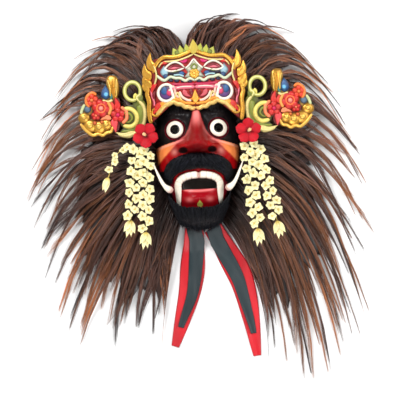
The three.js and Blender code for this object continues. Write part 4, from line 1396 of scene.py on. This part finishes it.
# ---- ear wings ----
def add_wing_hide(hide, paints):
    """The pierced hide that the raised bits are glued and stitched to."""
    olive, deep, gold = tinted(paints.leaf, 0.85), tinted(paints.scarlet, 0.62), paints.gold
    for x, y, radius, tall, paint in (
        (112, 78, 24, 1.0, olive), (101, 104, 10, 1.4, olive), (119, 54, 16, 0.6, olive),
        (137, 86, 15, 1.0, deep), (141, 106, 8, 1.5, deep), (145, 118, 8, 1.2, gold),
        (165, 98, 17, 1.0, deep), (182, 113, 11, 1.0, deep), (157, 118, 8, 1.2, gold),
        (176, 84, 12, 0.9, deep), (162, 68, 15, 0.8, gold), (183, 70, 15, 0.8, gold),
        (197, 84, 9, 1.1, gold), (191, 97, 8, 1.2, gold), (145, 68, 9, 1.4, deep),
    ):
        hide.boss(ring(x, y, radius, 40, tall), 0.8, tinted(paint, 0.6), -0.6)


def add_scroll(hide, paints):
    """The big curled scroll beside the eye, its cream border and the loop above it."""
    cream, leaf, pale_gold = paints.cream, paints.leaf, linear(240, 222, 118)
    hide.bead([(103, 60), (94, 72), (91, 88), (94, 102), (102, 112)], 12, 2.5, tinted(leaf, 0.85))
    hide.bead([(98, 101), (99, 84), (104, 68), (117, 58), (134, 56)], 13, 3.4, leaf, 0, curly)
    hide.boss(ring(117, 79, 15, 36), 2.2, tinted(leaf, 0.35))
    scroll = [(128, 96), (114, 94), (105, 84), (106, 71), (116, 64), (130, 66)]
    hide.bead(scroll, 8, 5.5, pale_gold, 0.2, rise=1.5)
    hide.bead([(127, 88), (117, 86), (113, 78), (119, 72), (127, 73)], 5.5, 4, leaf, 0, curly, rise=2)
    border = [(100, 108), (92, 99), (89.5, 86), (92, 70), (100, 58), (112, 51), (126, 48), (140, 52)]
    hide.bead(border, 7, 5, cream, 0.2, rise=1, count=70)
    loop = ring(110, 125, 14, 40, 1.12, math.radians(-125))
    loop = np.vstack([loop[:38], [(103, 114), (99, 106)]])
    hide.bead(loop, 7, 5, linear(206, 206, 112), 0.15, rise=1, count=90)
    hide.bead(loop, 2.6, 2, linear(240, 234, 160), 0.15, rise=5, count=90)
    hide.bead([(103, 120), (107, 117), (108, 110)], 6, 4, pale_gold, 0.2, curly, rise=1.5)
    hide.leaf([(100, 104), (95, 114), (97, 124)], 10, 4, tinted(leaf, 0.6), rise=0.5)
    hide.leaf([(108, 55), (124, 49), (144, 55)], 12, 4.5, cream, 0.2, rise=1)


def add_petal_and_drop(hide, paints):
    """The tall gilt petal and the blue drop beside it, with a painted highlight on the drop."""
    petal = [
        (138, 114), (134, 128), (134, 142), (137, 152), (145, 155), (153, 153), (156, 143), (154, 129),
        (149, 114), (138, 114),
    ]
    hide.lozenge(petal, 48, 4.5, paints.gold, 0.5, 1)
    hide.leaf([(143, 114), (144, 130), (145, 148)], 7, 2.6, linear(204, 138, 40), 1, rise=4)
    for x, tip in ((138.5, 137), (149.5, 153)):
        hide.bead([(x, 118), (x + 0.3, 132), (tip, 147)], 3, 2.2, linear(246, 206, 104), 1, rise=4)
    drop = [(157, 139), (165, 129), (166, 119), (158, 113), (150, 119), (151, 129), (157, 139)]
    hide.lozenge(drop, 40, 6, paints.blue, 0.5)
    # a pale blue painted highlight on the drop
    hide.boss(ring(157, 122, 4.2, 20), 1.6, linear(110, 190, 236), 6)
    hide.leaf([(150, 112), (147, 121), (150, 131)], 6, 3.5, linear(60, 120, 108), rise=2)
    hide.bead([(146, 112), (154, 109), (164, 112)], 5, 4, paints.cream, 0.2, rise=1.5)


def add_wing_rosettes(hide, paints):
    """Four red rosettes with coral and orange curls between them."""
    scarlet, coral = paints.scarlet, linear(248, 138, 92)
    hide.leaf([(141, 92), (138, 104), (142, 117)], 12, 5, scarlet, rise=1)
    hide.leaf([(146, 94), (147, 104), (151, 112)], 8, 4.5, linear(222, 60, 48), rise=1)
    hide.rosette(138, 85, 14, 5, 5, scarlet, linear(216, 36, 92), 1.5)
    hide.bead([(132, 99), (123, 91), (123, 78), (131, 70)], 6.5, 5.5, coral, rise=1.5)
    hide.rosette(167, 98, 17, 6, 5.5, scarlet, linear(250, 150, 130), 2)
    hide.bead([(155, 109), (150, 98), (154, 86)], 6, 5, linear(240, 160, 76), rise=2.5)
    hide.hoop(167, 98, 7.5, 2.6, 2, linear(244, 120, 60), 6)
    hide.rosette(183, 113, 12, 5, 5, linear(226, 62, 34), linear(246, 130, 70), 1.5)
    curl = [(174, 122), (182, 126), (191, 120), (193, 110), (188, 101)]
    hide.bead(curl, 6, 5, linear(240, 130, 56), 0.2, rise=1)
    hide.rosette(177, 86, 9, 5, 4.2, scarlet, coral, 1.8)
    hide.leaf([(150, 79), (159, 82), (170, 78)], 10, 4.6, coral, rise=1.5)
    hide.leaf([(146, 80), (145, 68), (143, 55)], 14, 5, linear(230, 70, 76), rise=1)


def add_gilt_lobes(hide, paints):
    """The gilt lobes along the wing's lower edge, each with a pale painted highlight, and the hem under them.
    """
    hide.boss(ring(192, 98, 6.5, 24), 4, linear(86, 110, 132), 0.8)
    hide.bead([(196, 107), (201, 99), (204, 90)], 5.5, 3.5, linear(198, 206, 150), rise=0.5)
    for x, y, radius in ((199, 83, 11), (189, 68, 13), (173, 65, 13), (160, 69, 11)):
        hide.boss(ring(x, y, radius, 34, 0.9), 4.6, paints.gold, 0.6, 1)
        # a pale painted highlight in the middle of each lobe
        hide.boss(ring(x, y + 1, radius * 0.42, 22, 0.9), 2.2, linear(250, 200, 90), 4.8, 0.8)
    hide.boss(ring(180, 73, 4, 24), 3, linear(206, 96, 40), 4.2, 0.3)
    hide.boss(ring(167, 74, 3.4, 24), 3, linear(214, 110, 44), 4.2, 0.3)
    hem = [(148, 66), (152, 57), (160, 55), (167, 51), (175, 54), (184, 52), (192, 57), (199, 64), (206, 74)]
    hide.bead(hem, 6, 4.4, linear(244, 190, 84), 0.8, rise=1, count=70)


def build_wings(paints):
    """Pierced leather wings: a scroll and its loop, a gilt petal, a blue drop, rosettes and gilt lobes."""
    material = painted_leather("Painted wing leather", 0.5)
    for name, side in SIDES.items():
        hide = Leather(wing_front, WING_PLATE, (side,))
        for add_part in (add_wing_hide, add_scroll, add_petal_and_drop, add_wing_rosettes, add_gilt_lobes):
            add_part(hide, paints)
        make_piece(f"ear_wing_{name}", hide.kit, material, [f"wing_{name}"])


# ---- flowers ----
def add_petal(
    kit, foot, heading, tilt, length, width, seed, cup, ruffle, thick, rows, columns, pointed, blunt
):
    """A thin closed petal that grows from its foot along heading, tilted up, cupped and ruffled."""
    t, s = np.meshgrid(steps(rows) ** 0.9, np.linspace(-1, 1, columns), indexing="ij")
    outline = np.sin(np.clip(t * 0.94 + 0.06, 0, 1) ** pointed * math.pi) ** blunt * 0.5 + END_SHARE
    along = t * length * (1 - 0.06 * s**2)
    across = s * outline * width
    up = cup * width * (s**2) * outline * 2 + ruffle * np.sin(5 * s + 9 * t + seed) * t**1.5 * (0.3 + s**2)
    up = up + along * math.sin(tilt) - 0.22 * length * np.sin(tilt) * t**3
    out = along * math.cos(tilt)
    direction = np.array([math.cos(heading), math.sin(heading)])
    sideways = np.array([-direction[1], direction[0]])
    plan = np.asarray(foot)[:2] + out[..., None] * direction + across[..., None] * sideways
    top = np.dstack([plan, foot[2] + up])
    add_blanket(kit, top, top[..., 2] - thick, along=np.tile(t.ravel(), 2), across=np.tile(s.ravel(), 2))


HIBISCUS_PLACE, HIBISCUS_RADIUS, HIBISCUS_PETALS, STAMENS = (90.0, 46.0, 74.0), 21.0, 5, 22
HIBISCUS_PETAL = dict(cup=-0.18, ruffle=1.1, thick=0.6, rows=17, columns=13, pointed=1.7, blunt=0.62)


def build_hibiscus(paints):
    """A large silk flower beside each eye: overlapping ruffled petals round a pollen-tipped column."""
    petals = silk("Red silk", paints.hibiscus, tinted(paints.hibiscus, 0.35))
    column = silk("Pollen silk", linear(255, 206, 150), linear(240, 120, 120))
    x, y, z = HIBISCUS_PLACE
    for name, side in SIDES.items():
        kit, turn = Kit(), 0.3 * side
        for number in range(HIBISCUS_PETALS):
            heading = turn + 2 * math.pi * number / HIBISCUS_PETALS
            out_x, out_y = math.cos(heading), math.sin(heading)
            foot = (side * x + 1.5 * out_x, y + 1.5 * out_y, z + 5 + 0.8 * (number % 3))
            length = HIBISCUS_RADIUS + 2.5
            add_petal(kit, foot, heading, 0.34, length, 19, number * 1.7, **HIBISCUS_PETAL)
        make_piece(f"hibiscus_petals_{name}", kit, petals, [f"hibiscus_{name}"])
        kit = Kit()
        base = np.array([side * x, y, z + 5])
        tip = base + np.array([2.5 * side, 2.0, 9])
        stem = evenly([base - [0, 0, 4], between(base, tip, 0.5), tip], 12)
        add_tube(kit, stem, between(2.6, 1.5, steps(12)), 10, along=0.9, across=0.0)
        for number in range(STAMENS):
            angle, high = number * 2.4, 0.45 + 0.55 * number / STAMENS
            spot = between(base, tip, high)
            end = spot + [2.6 * math.cos(angle), 2.6 * math.sin(angle), 1.2]
            thread = np.array([spot, between(spot, end, 0.5), end])
            add_tube(kit, thread, np.array([0.3, 0.3, 0.85]), 6, along=0.9, across=0.0)
        make_piece(f"hibiscus_column_{name}", kit, column, [f"hibiscus_{name}"])


# each string's thread from the ear down
GARLANDS = {
    "garland_left_outer": [
        (-106, 24, 64), (-112, -10, 62), (-117, -50, 60), (-121, -85, 57), (-125, -112, 54),
    ],
    "garland_left_inner": [(-88, 20, 65), (-91, -30, 64), (-95, -75, 61), (-96, -105, 58), (-98, -134, 55)],
    "garland_left_sprig": [(-120, 26, 62), (-138, 20, 59), (-150, 4, 56), (-157, -16, 54), (-165, -38, 52)],
    "garland_right_outer": [(104, 24, 64), (113, -20, 62), (122, -52, 60), (129, -85, 57), (137, -124, 53)],
    "garland_right_inner": [(87, 20, 65), (90, -30, 64), (93, -66, 61), (98, -100, 58), (101, -136, 55)],
}

# the closed buds at the end of a string: how far each one turns from the string, and its length
STRING_END = ((-0.46, 24), (0.42, 25), (-0.15, 32), (0.13, 29))
SPRIG_END = ((-0.13, 25), (0.10, 28))
OPEN_PETAL = dict(cup=0.14, ruffle=0.2, thick=0.5, rows=6, columns=5, pointed=0.95, blunt=0.75)
CLOSED_BUD = dict(cup=0.3, ruffle=0.3, thick=2.4, rows=11, columns=7, pointed=0.8, blunt=1.0)


def build_jasmine(paints, hair):
    """Strings of silk jasmine: open flowers side by side on a thread, ending in long closed buds."""
    rng = np.random.default_rng(hair.seed + 1)
    material = silk("Jasmine silk", paints.jasmine, linear(214, 186, 92))
    for name, knots in GARLANDS.items():
        kit = Kit()
        length = np.linalg.norm(np.diff(evenly(knots, 40), axis=0), axis=1).sum()
        thin = "sprig" in name
        flowers = int(length / (13 if thin else 9.5))
        line = evenly(knots, 60)
        add_tube(kit, line, 0.7, 6, along=0.0, across=0.0)
        run = through(line, steps(flowers + 1))
        for number in range(flowers - 1):
            spot = run[number] + np.append(rng.normal(0, 0.8, 2), 0)
            spot[0] += (6.2 if number % 2 else -6.2) * (0.35 if thin else 1.0)
            top, turn = rng.uniform(3.0, 6.0), rng.uniform(0, 2 * math.pi)
            size = rng.uniform(9.6, 11.2) * (0.82 if thin else 1.0)
            for petal in range(5):
                heading = turn + 2 * math.pi * petal / 5 + rng.normal(0, 0.15)
                foot = (spot[0], spot[1], spot[2] + top - 1.5 + 0.3 * (petal % 2))
                tilt = rng.uniform(0.15, 0.75)
                add_petal(kit, foot, heading, tilt, size, size * 0.8, petal, **OPEN_PETAL)
            bud = np.array([spot + [0, 0, -2], spot + [0, 0, top - 2], spot + [0, 0, top - 0.6]])
            add_tube(kit, bud, np.array([1.6, 1.5, 0.8]), 7, along=0.0, across=0.0)
        heading = np.arctan2(*(run[-1] - run[-3])[[1, 0]])
        for offset, reach in SPRIG_END if thin else STRING_END:
            foot = (*run[-2][:2], run[-2][2] + 2 + 5 * abs(offset))
            add_petal(kit, foot, heading + offset, -0.04, reach, 10, 0, **CLOSED_BUD)
        make_piece(name.replace("garland", "jasmine"), kit, material, [name])


# ---- mane ----
MANE_ROOT, MANE_CREST, MANE_EDGE = 50.0, 78.0, 7.0
MANE_LINES = {
    # the angle that the first lock leaves the rim at, where the locks bend, and where they end
    "left": (
        0.10,
        [
            (4, 262), (46, 276), (120, 262), (170, 190), (196, 112), (207, 18), (196, -72), (158, -160),
            (66, -212),
        ],
        [
            (96, 254), (158, 243), (226, 190), (268, 118), (301, 30), (294, -68), (268, -196), (206, -314),
            (78, -322),
        ],
    ),
    "right": (
        -0.10,
        [
            (-31, 258), (30, 284), (112, 268), (166, 196), (196, 118), (207, 22), (200, -66), (178, -158),
            (114, -214),
        ],
        [
            (44, 262), (124, 262), (220, 196), (262, 96), (306, -30), (290, -172), (276, -318), (206, -390),
            (112, -350),
        ],
    ),
}


def mane_root(first, v, out):
    """Where the hair is tied: round the rim of the face, from its top to beside the beard."""
    angle = between(first, 2.62, v) + 0.26 * ease(0.86, 1.0, v)
    return np.stack(egg_places(out * np.sin(angle), out * np.cos(angle), 0.0), -1)


def mane_place(side_name, u, v, out):
    """A place in plan on one half of the mane: u runs from the root to the tip and v from the top down."""
    first, bends, tips = MANE_LINES[side_name]
    root = mane_root(first, v, out)
    bend, tip = through(bends, v), through(tips, v)
    u = u[..., None]
    return (root * (1 - u) ** 2 + 2 * bend * u * (1 - u) + tip * u**2) * [SIDES[side_name], 1]


def mane_top(u, v):
    """How high the hair lies: higher behind the tiara, and lower where it comes from under the beard."""
    behind_tiara = ease(0.30, 0.10, v)
    root = between(MANE_ROOT, MANE_CREST, behind_tiara) * between(1.0, 0.55, ease(0.88, 1.0, v))
    bow = between(1.25, 2.6, behind_tiara)
    return MANE_EDGE + (root - MANE_EDGE) * (1 - np.clip(u, 0, 1) ** bow)


MANE_LAYERS = {
    # name: share of the locks, strands in a lock against the usual, points on a strand, reach of the tips,
    # height in the mane, half width of a lock at its root and near its tip as shares of the way round, and
    # how far it waves
    "under": (0.24, 1.0, 6, (0.60, 0.86), (0.05, 0.35), 0.022, 0.006, 0.013),
    "wisps": (0.22, 1.4, 8, (0.86, 1.07), (0.10, 0.80), 0.014, 0.0035, 0.014),
    "middle": (0.27, 0.9, 6, (0.58, 0.86), (0.45, 0.85), 0.016, 0.0040, 0.013),
    "over": (0.18, 0.9, 8, (0.42, 0.90), (0.75, 1.00), 0.013, 0.0040, 0.030),
}


def comb_layer(rng, kit, side_name, hair, layer):
    """Locks of strands that lie side by side, arch outwards, droop at their ends and close to a point."""
    share, fullness, points, reaches, heights, wide, narrow, wave = MANE_LAYERS[layer]
    locks, strands = int(hair.locks * share), int(hair.strands * fullness)

    # each lock: its place from the top down, its reach and height, its sway and its colour, a few of them
    # painted pale as highlights
    lock_v = ((np.arange(locks) + rng.uniform(0.1, 0.9, locks)) / locks) ** 1.12
    rng.shuffle(lock_v)
    top_reach, height = rng.uniform(*reaches, locks), rng.uniform(*heights, locks)
    top_reach = top_reach * (1 + 0.05 * np.sin(lock_v * 61 + len(side_name)))
    if layer != "wisps":
        top_reach = top_reach * (1 - 0.26 * ease(0.80, 0.48, lock_v))
    drift, droop = rng.normal(0.008, 0.020, locks), np.clip(rng.normal(34, 17, locks), -4, 66)
    calm = between(1.0, 0.3, ease(0.66, 0.84, lock_v))
    bow, phase = calm * rng.normal(0, wave, locks), rng.uniform(0, 2 * math.pi, locks)
    warm_by_place = np.interp(lock_v, [0, 0.2, 0.45, 0.7, 0.86, 1], [0.30, 0.42, 0.56, 0.54, 0.60, 0.25])
    warm = np.clip(warm_by_place + rng.normal(0, 0.26, locks), 0, 1)
    # locks painted pale as highlights, more of them towards the top of the mane
    highlight_share = 0.08 + 0.16 * ease(0.5, 0.2, lock_v)
    tint = rng.uniform(0.55, 1.35, locks) * np.where(rng.uniform(0, 1, locks) < highlight_share, 1.8, 1.0)

    def each(values):
        return values[:, None, None]

    # each strand: its place across the lock, and its way from root to tip
    shape, across = (locks, strands, points), (locks, strands, 1)
    s = np.broadcast_to(steps(points), shape)
    place = rng.uniform(-1, 1, across)
    start = rng.uniform(0.0, 0.10, across)
    end = each(top_reach) * (1 - 0.20 * np.abs(place) ** 1.5 * rng.uniform(0.3, 1, across))
    u = start + (end - start) * s
    closing = between(wide, narrow, ease(0, 0.55, s)) * (1 - ease(0.45, 1.02, s)) + 0.0006
    v = each(lock_v) + place * closing + each(drift) * s**2 + each(bow) * np.sin(s * 5.0 + each(phase)) * s
    v = np.clip(v + rng.normal(0, 0.0012, across) * s, 0.001, 0.999)
    level = np.clip(each(height) + rng.normal(0, 0.06, across), 0.03, 1.05)
    plan = mane_place(side_name, u, v, np.broadcast_to(1.015 - 0.06 * level, shape))
    plan[..., 1] -= each(droop) * np.maximum(0, u - 0.5) ** 2 / 0.25 * ease(0.88, 0.62, v)
    z = 1.5 + (mane_top(u, v) - 3) * level * (1 - 0.35 * s**2) + 3.0 * np.sin(s * math.pi) * level
    lines = np.concatenate([plan, z[..., None]], -1).reshape(-1, points, 3)
    radius = hair.strand_width * MM / 2 * rng.uniform(0.6, 1.2, locks * strands)
    strand_tint = (tint[:, None] * rng.uniform(0.7, 1.35, (locks, strands))).reshape(-1, 1)
    strand_warm = (warm[:, None] + rng.normal(0, 0.08, (locks, strands))).reshape(-1, 1)
    add_strands(kit, lines, radius, along=u.reshape(-1, points), warm=strand_warm, tint=strand_tint)


MAT_COLUMNS, MAT_ROWS = 22, 90


def add_mat(kit, side_name):
    """The netted ground that the mane is tied to, hidden under the hair and coloured darker than its roots as
    painted shade between the locks.
    """
    down, outward = np.linspace(0.01, 0.985, MAT_ROWS), steps(MAT_COLUMNS)
    v, u = np.meshgrid(down, outward, indexing="ij")
    edge = 0.64 - 0.16 * ease(0.80, 0.48, v) + 0.05 * np.sin(v * 90) + 0.04 * np.sin(v * 231 + 1)
    reach = u * edge
    plan = mane_place(side_name, reach, v, np.full(u.shape, 1.01))
    z = mane_top(reach, v) * 0.42 + 0.8 * np.sin(v * 700 + 3 * u) - 6 * u**3
    top = np.dstack([plan, np.maximum(z, 1.6)])
    add_blanket(kit, top, np.full(u.shape, 0.4), along=0.05, warm=0.0, tint=0.6)


def build_mane(hair):
    """The two halves of the mane, each in four layers of locks over a netted ground."""
    material = hair_finish("Mane hair", hair.root, hair.middle, hair.tan, hair.tip, 0.7)
    for name in SIDES:
        for layer in MANE_LAYERS:
            rng = np.random.default_rng([hair.seed, len(name), len(layer)])
            kit = Kit()
            if layer == "under":
                add_mat(kit, name)
            comb_layer(rng, kit, name, hair, layer)
            make_piece(f"mane_{name}_{layer}", kit, material, [f"mane_{name}"], outward=False)


# ---- beard ribbons ----
# each ribbon's middle line on the ground, from under the beard
RIBBONS = {
    "left": [(-12, -122), (-16, -170), (-24, -230), (-40, -285), (-56, -335)],
    "right": [(21, -122), (44, -165), (70, -220), (84, -290), (92, -358)],
}
RED_THICK, BLACK_THICK, RIBBON_START, BLACK_ASIDE = 1.0, 0.8, 12.5, 5.5
RED_LOW, BLACK_LOW, BLACK_REACH = 0.2, 2.7, 10 / 12
LINE_STEPS = 240


def red_width(t):
    return between(34, 50, ease(0, 0.4, t)) * (1 - 0.72 * t**2)


def black_width(t):
    return 28 * (1 - 0.9 * t**2)


def ribbon_cloth(knots, width, low, thick, reach, phase, aside=0.0):
    """A thin strip with soft ripples, lying along a line on the ground from under the beard."""
    rows, columns = 110, 17
    t, s = np.meshgrid(np.linspace(0, reach, rows), np.linspace(-1, 1, columns), indexing="ij")
    line = evenly([(*place, 0) for place in knots], LINE_STEPS)

    def at(part):
        return np.stack([np.interp(part, steps(LINE_STEPS), line[:, k]) for k in (0, 1)], -1)

    step = at(np.minimum(t + 0.01, 1)) - at(np.maximum(t - 0.01, 0))
    along = step / np.linalg.norm(step, axis=-1)[..., None]
    offset = s * width(t) / 2 + aside * ease(0.0, 0.12, t) * ease(0.9, 0.5, t)
    plan = at(t) + offset[..., None] * np.stack([along[..., 1], -along[..., 0]], -1)
    ripple = 0.8 * np.sin(t * 17 + s * 1.6 + phase) * (0.4 + 0.6 * np.abs(s))
    ripple = ripple + 0.5 * np.sin(s * 4 + t * 6 + phase)
    z = low + RIBBON_START * ease(0.22, 0, t) + 1.2 + np.maximum(ripple, -1.1)
    kit = Kit()
    add_blanket(kit, np.dstack([plan, z + thick]), z, edge=np.tile(np.abs(s).ravel(), 2))
    length = np.linalg.norm(np.diff(line, axis=0), axis=1).sum() * reach
    area = float(width(np.linspace(0, reach, 400)).mean() * length)
    return kit, length, area


def build_ribbons(hair):
    """A wide red satin ribbon and a narrow black one on it, hanging from under the beard on each side."""
    red, black = satin("Red satin", hair.satin_red), satin("Black satin", hair.satin_black)
    for name, knots in RIBBONS.items():
        for colour, material, width, low, thick, reach, aside in (
            ("red", red, red_width, RED_LOW, RED_THICK, 1.0, 0.0),
            ("black", black, black_width, BLACK_LOW, BLACK_THICK, BLACK_REACH, BLACK_ASIDE * SIDES[name]),
        ):
            kit, length, area = ribbon_cloth(knots, width, low, thick, reach, len(name), aside)
            nodes = [f"ribbon_{name}_{colour}"]
            piece = make_piece(f"{colour}_ribbon_{name}", kit, material, nodes)
            widest = float(width(np.linspace(0, reach, 200)).max()) / MM


# ---- stage ----
FLOOR_REACH, SKY_LIGHT = 4.0, 0.22
LENS, CAMERA_HEIGHT, CAMERA_TURN = 100, 2.02, -2.5
LAMPS = {
    # place and width in metres, and power in watts
    "key light": ((-1.1, 1.3, 2.0), 1.2, 56),
    "fill light": ((1.5, 0.5, 1.7), 1.6, 28),
    "front light": ((0.1, -1.6, 1.9), 1.5, 26),
}
LAMP_AIM = (0, 0, 0.05)


def floor_finish():
    """Plain pale matt paint."""
    material, tree, shader = new_finish("Pale floor", Roughness=0.9, Specular_IOR_Level=0.15)
    colour = mixed(tree, uneven(tree, 3, 4, 0.0, 1.0), FLOOR_GREY, FLOOR_PALE)
    fill(tree, shader, {"Base Color": colour})
    bump(tree, shader, cloudy(tree, 600, 3), 0.05, 0.0002)
    return material


def add_lamp(name, place, size, power):
    """A round soft lamp turned to the mask."""
    lamp = bpy.data.lights.new(name, "AREA")
    lamp.shape, lamp.size, lamp.energy = "DISK", size, power
    holder = bpy.data.objects.new(name, lamp)
    holder.location = place
    holder.rotation_euler = (Vector(LAMP_AIM) - Vector(place)).to_track_quat("-Z", "Y").to_euler()
    bpy.context.scene.collection.objects.link(holder)


def build_stage():
    """A pale floor, soft studio light, and a camera that looks straight down on the mask."""
    mesh = bpy.data.meshes.new("floor")
    corners = [(x * FLOOR_REACH, y * FLOOR_REACH, 0) for x, y in ((-1, -1), (1, -1), (1, 1), (-1, 1))]
    mesh.from_pydata(corners, [], [(0, 1, 2, 3)])
    mesh.materials.append(floor_finish())
    floor = bpy.data.objects.new("floor", mesh)
    scene = bpy.context.scene
    scene.collection.objects.link(floor)
    for name, (place, size, power) in LAMPS.items():
        add_lamp(name, place, size, power)
    scene.world = bpy.data.worlds.new("Studio")
    scene.world.use_nodes = True
    sky = scene.world.node_tree.nodes["Background"]
    sky.inputs["Color"].default_value = (1, 1, 1, 1)
    sky.inputs["Strength"].default_value = SKY_LIGHT
    scene.view_settings.view_transform = "Standard"
    lens = bpy.data.cameras.new("camera")
    lens.lens = LENS
    camera = bpy.data.objects.new("camera", lens)
    middle = (CAD_BOX[0] + CAD_BOX[1]) / 2
    camera.location = (middle.x, middle.y, CAMERA_HEIGHT)
    camera.rotation_euler = (0, 0, math.radians(CAMERA_TURN))
    scene.collection.objects.link(camera)
    scene.camera = camera


# ---- add-on ----
class BARONG_OT_face(bpy.types.Operator):
    """Carve, hollow and paint the wooden face"""

    bl_idname = "barong.face"
    bl_label = "Carved Face"

    def execute(self, context):
        build_face(context.scene.barong_paints)
        return {"FINISHED"}


class BARONG_OT_teeth(bpy.types.Operator):
    """Carve the arch of upper teeth with its two fangs"""

    bl_idname = "barong.teeth"
    bl_label = "Upper Teeth"

    def execute(self, context):
        build_teeth(context.scene.barong_paints)
        return {"FINISHED"}


class BARONG_OT_tusks(bpy.types.Operator):
    """Set a boar's tusk at each corner of the mouth"""

    bl_idname = "barong.tusks"
    bl_label = "Boar Tusks"

    def execute(self, context):
        build_tusks(context.scene.barong_paints)
        return {"FINISHED"}


class BARONG_OT_fur(bpy.types.Operator):
    """Comb the black moustache and the beard"""

    bl_idname = "barong.fur"
    bl_label = "Moustache and Beard"

    def execute(self, context):
        build_fur(context.scene.barong_hair)
        return {"FINISHED"}


class BARONG_OT_tiara(bpy.types.Operator):
    """Cut, emboss and gild the leather tiara"""

    bl_idname = "barong.tiara"
    bl_label = "Leather Tiara"

    def execute(self, context):
        build_tiara(context.scene.barong_paints)
        return {"FINISHED"}


class BARONG_OT_wings(bpy.types.Operator):
    """Cut and paint the two pierced ear wings"""

    bl_idname = "barong.wings"
    bl_label = "Ear Wings"

    def execute(self, context):
        build_wings(context.scene.barong_paints)
        return {"FINISHED"}


class BARONG_OT_hibiscus(bpy.types.Operator):
    """Fold the two large silk flowers"""

    bl_idname = "barong.hibiscus"
    bl_label = "Silk Hibiscus"

    def execute(self, context):
        build_hibiscus(context.scene.barong_paints)
        return {"FINISHED"}


class BARONG_OT_jasmine(bpy.types.Operator):
    """String the five jasmine garlands"""

    bl_idname = "barong.jasmine"
    bl_label = "Jasmine Strings"

    def execute(self, context):
        build_jasmine(context.scene.barong_paints, context.scene.barong_hair)
        return {"FINISHED"}


class BARONG_OT_mane(bpy.types.Operator):
    """Comb both halves of the mane in layers of locks"""

    bl_idname = "barong.mane"
    bl_label = "Mane"

    def execute(self, context):
        build_mane(context.scene.barong_hair)
        return {"FINISHED"}


class BARONG_OT_ribbons(bpy.types.Operator):
    """Lay the red and black satin ribbons under the beard"""

    bl_idname = "barong.ribbons"
    bl_label = "Beard Ribbons"

    def execute(self, context):
        build_ribbons(context.scene.barong_hair)
        return {"FINISHED"}


class BARONG_OT_stage(bpy.types.Operator):
    """Set up the floor, the lamps and the camera"""

    bl_idname = "barong.stage"
    bl_label = "Stage"

    def execute(self, context):
        build_stage()
        return {"FINISHED"}


STEPS = (
    BARONG_OT_stage, BARONG_OT_face, BARONG_OT_teeth, BARONG_OT_tusks, BARONG_OT_fur, BARONG_OT_tiara,
    BARONG_OT_wings, BARONG_OT_hibiscus, BARONG_OT_jasmine, BARONG_OT_mane, BARONG_OT_ribbons,
)


class BARONG_PT_mask(bpy.types.Panel):
    """Colours, hair and building steps of the mask"""

    bl_label = "Barong Mask"
    bl_space_type = "VIEW_3D"
    bl_region_type = "UI"
    bl_category = "Barong Mask"

    def draw(self, context):
        for step in STEPS:
            self.layout.operator(step.bl_idname)
        for group in (context.scene.barong_paints, context.scene.barong_hair):
            box = self.layout.box()
            for name in group.bl_rna.properties.keys():
                if name not in {"rna_type", "name"}:
                    box.prop(group, name)


CLASSES = (BarongPaints, BarongHair, *STEPS, BARONG_PT_mask)


def register():
    for each in CLASSES:
        bpy.utils.register_class(each)
    bpy.types.Scene.barong_paints = bpy.props.PointerProperty(type=BarongPaints)
    bpy.types.Scene.barong_hair = bpy.props.PointerProperty(type=BarongHair)


def unregister():
    del bpy.types.Scene.barong_hair
    del bpy.types.Scene.barong_paints
    for each in reversed(CLASSES):
        bpy.utils.unregister_class(each)


def main():
    """Builds every piece in turn."""
    register()
    for step in STEPS:
        family, name = step.bl_idname.split(".")
        getattr(getattr(bpy.ops, family), name)()


if __name__ == "__main__":
    main()
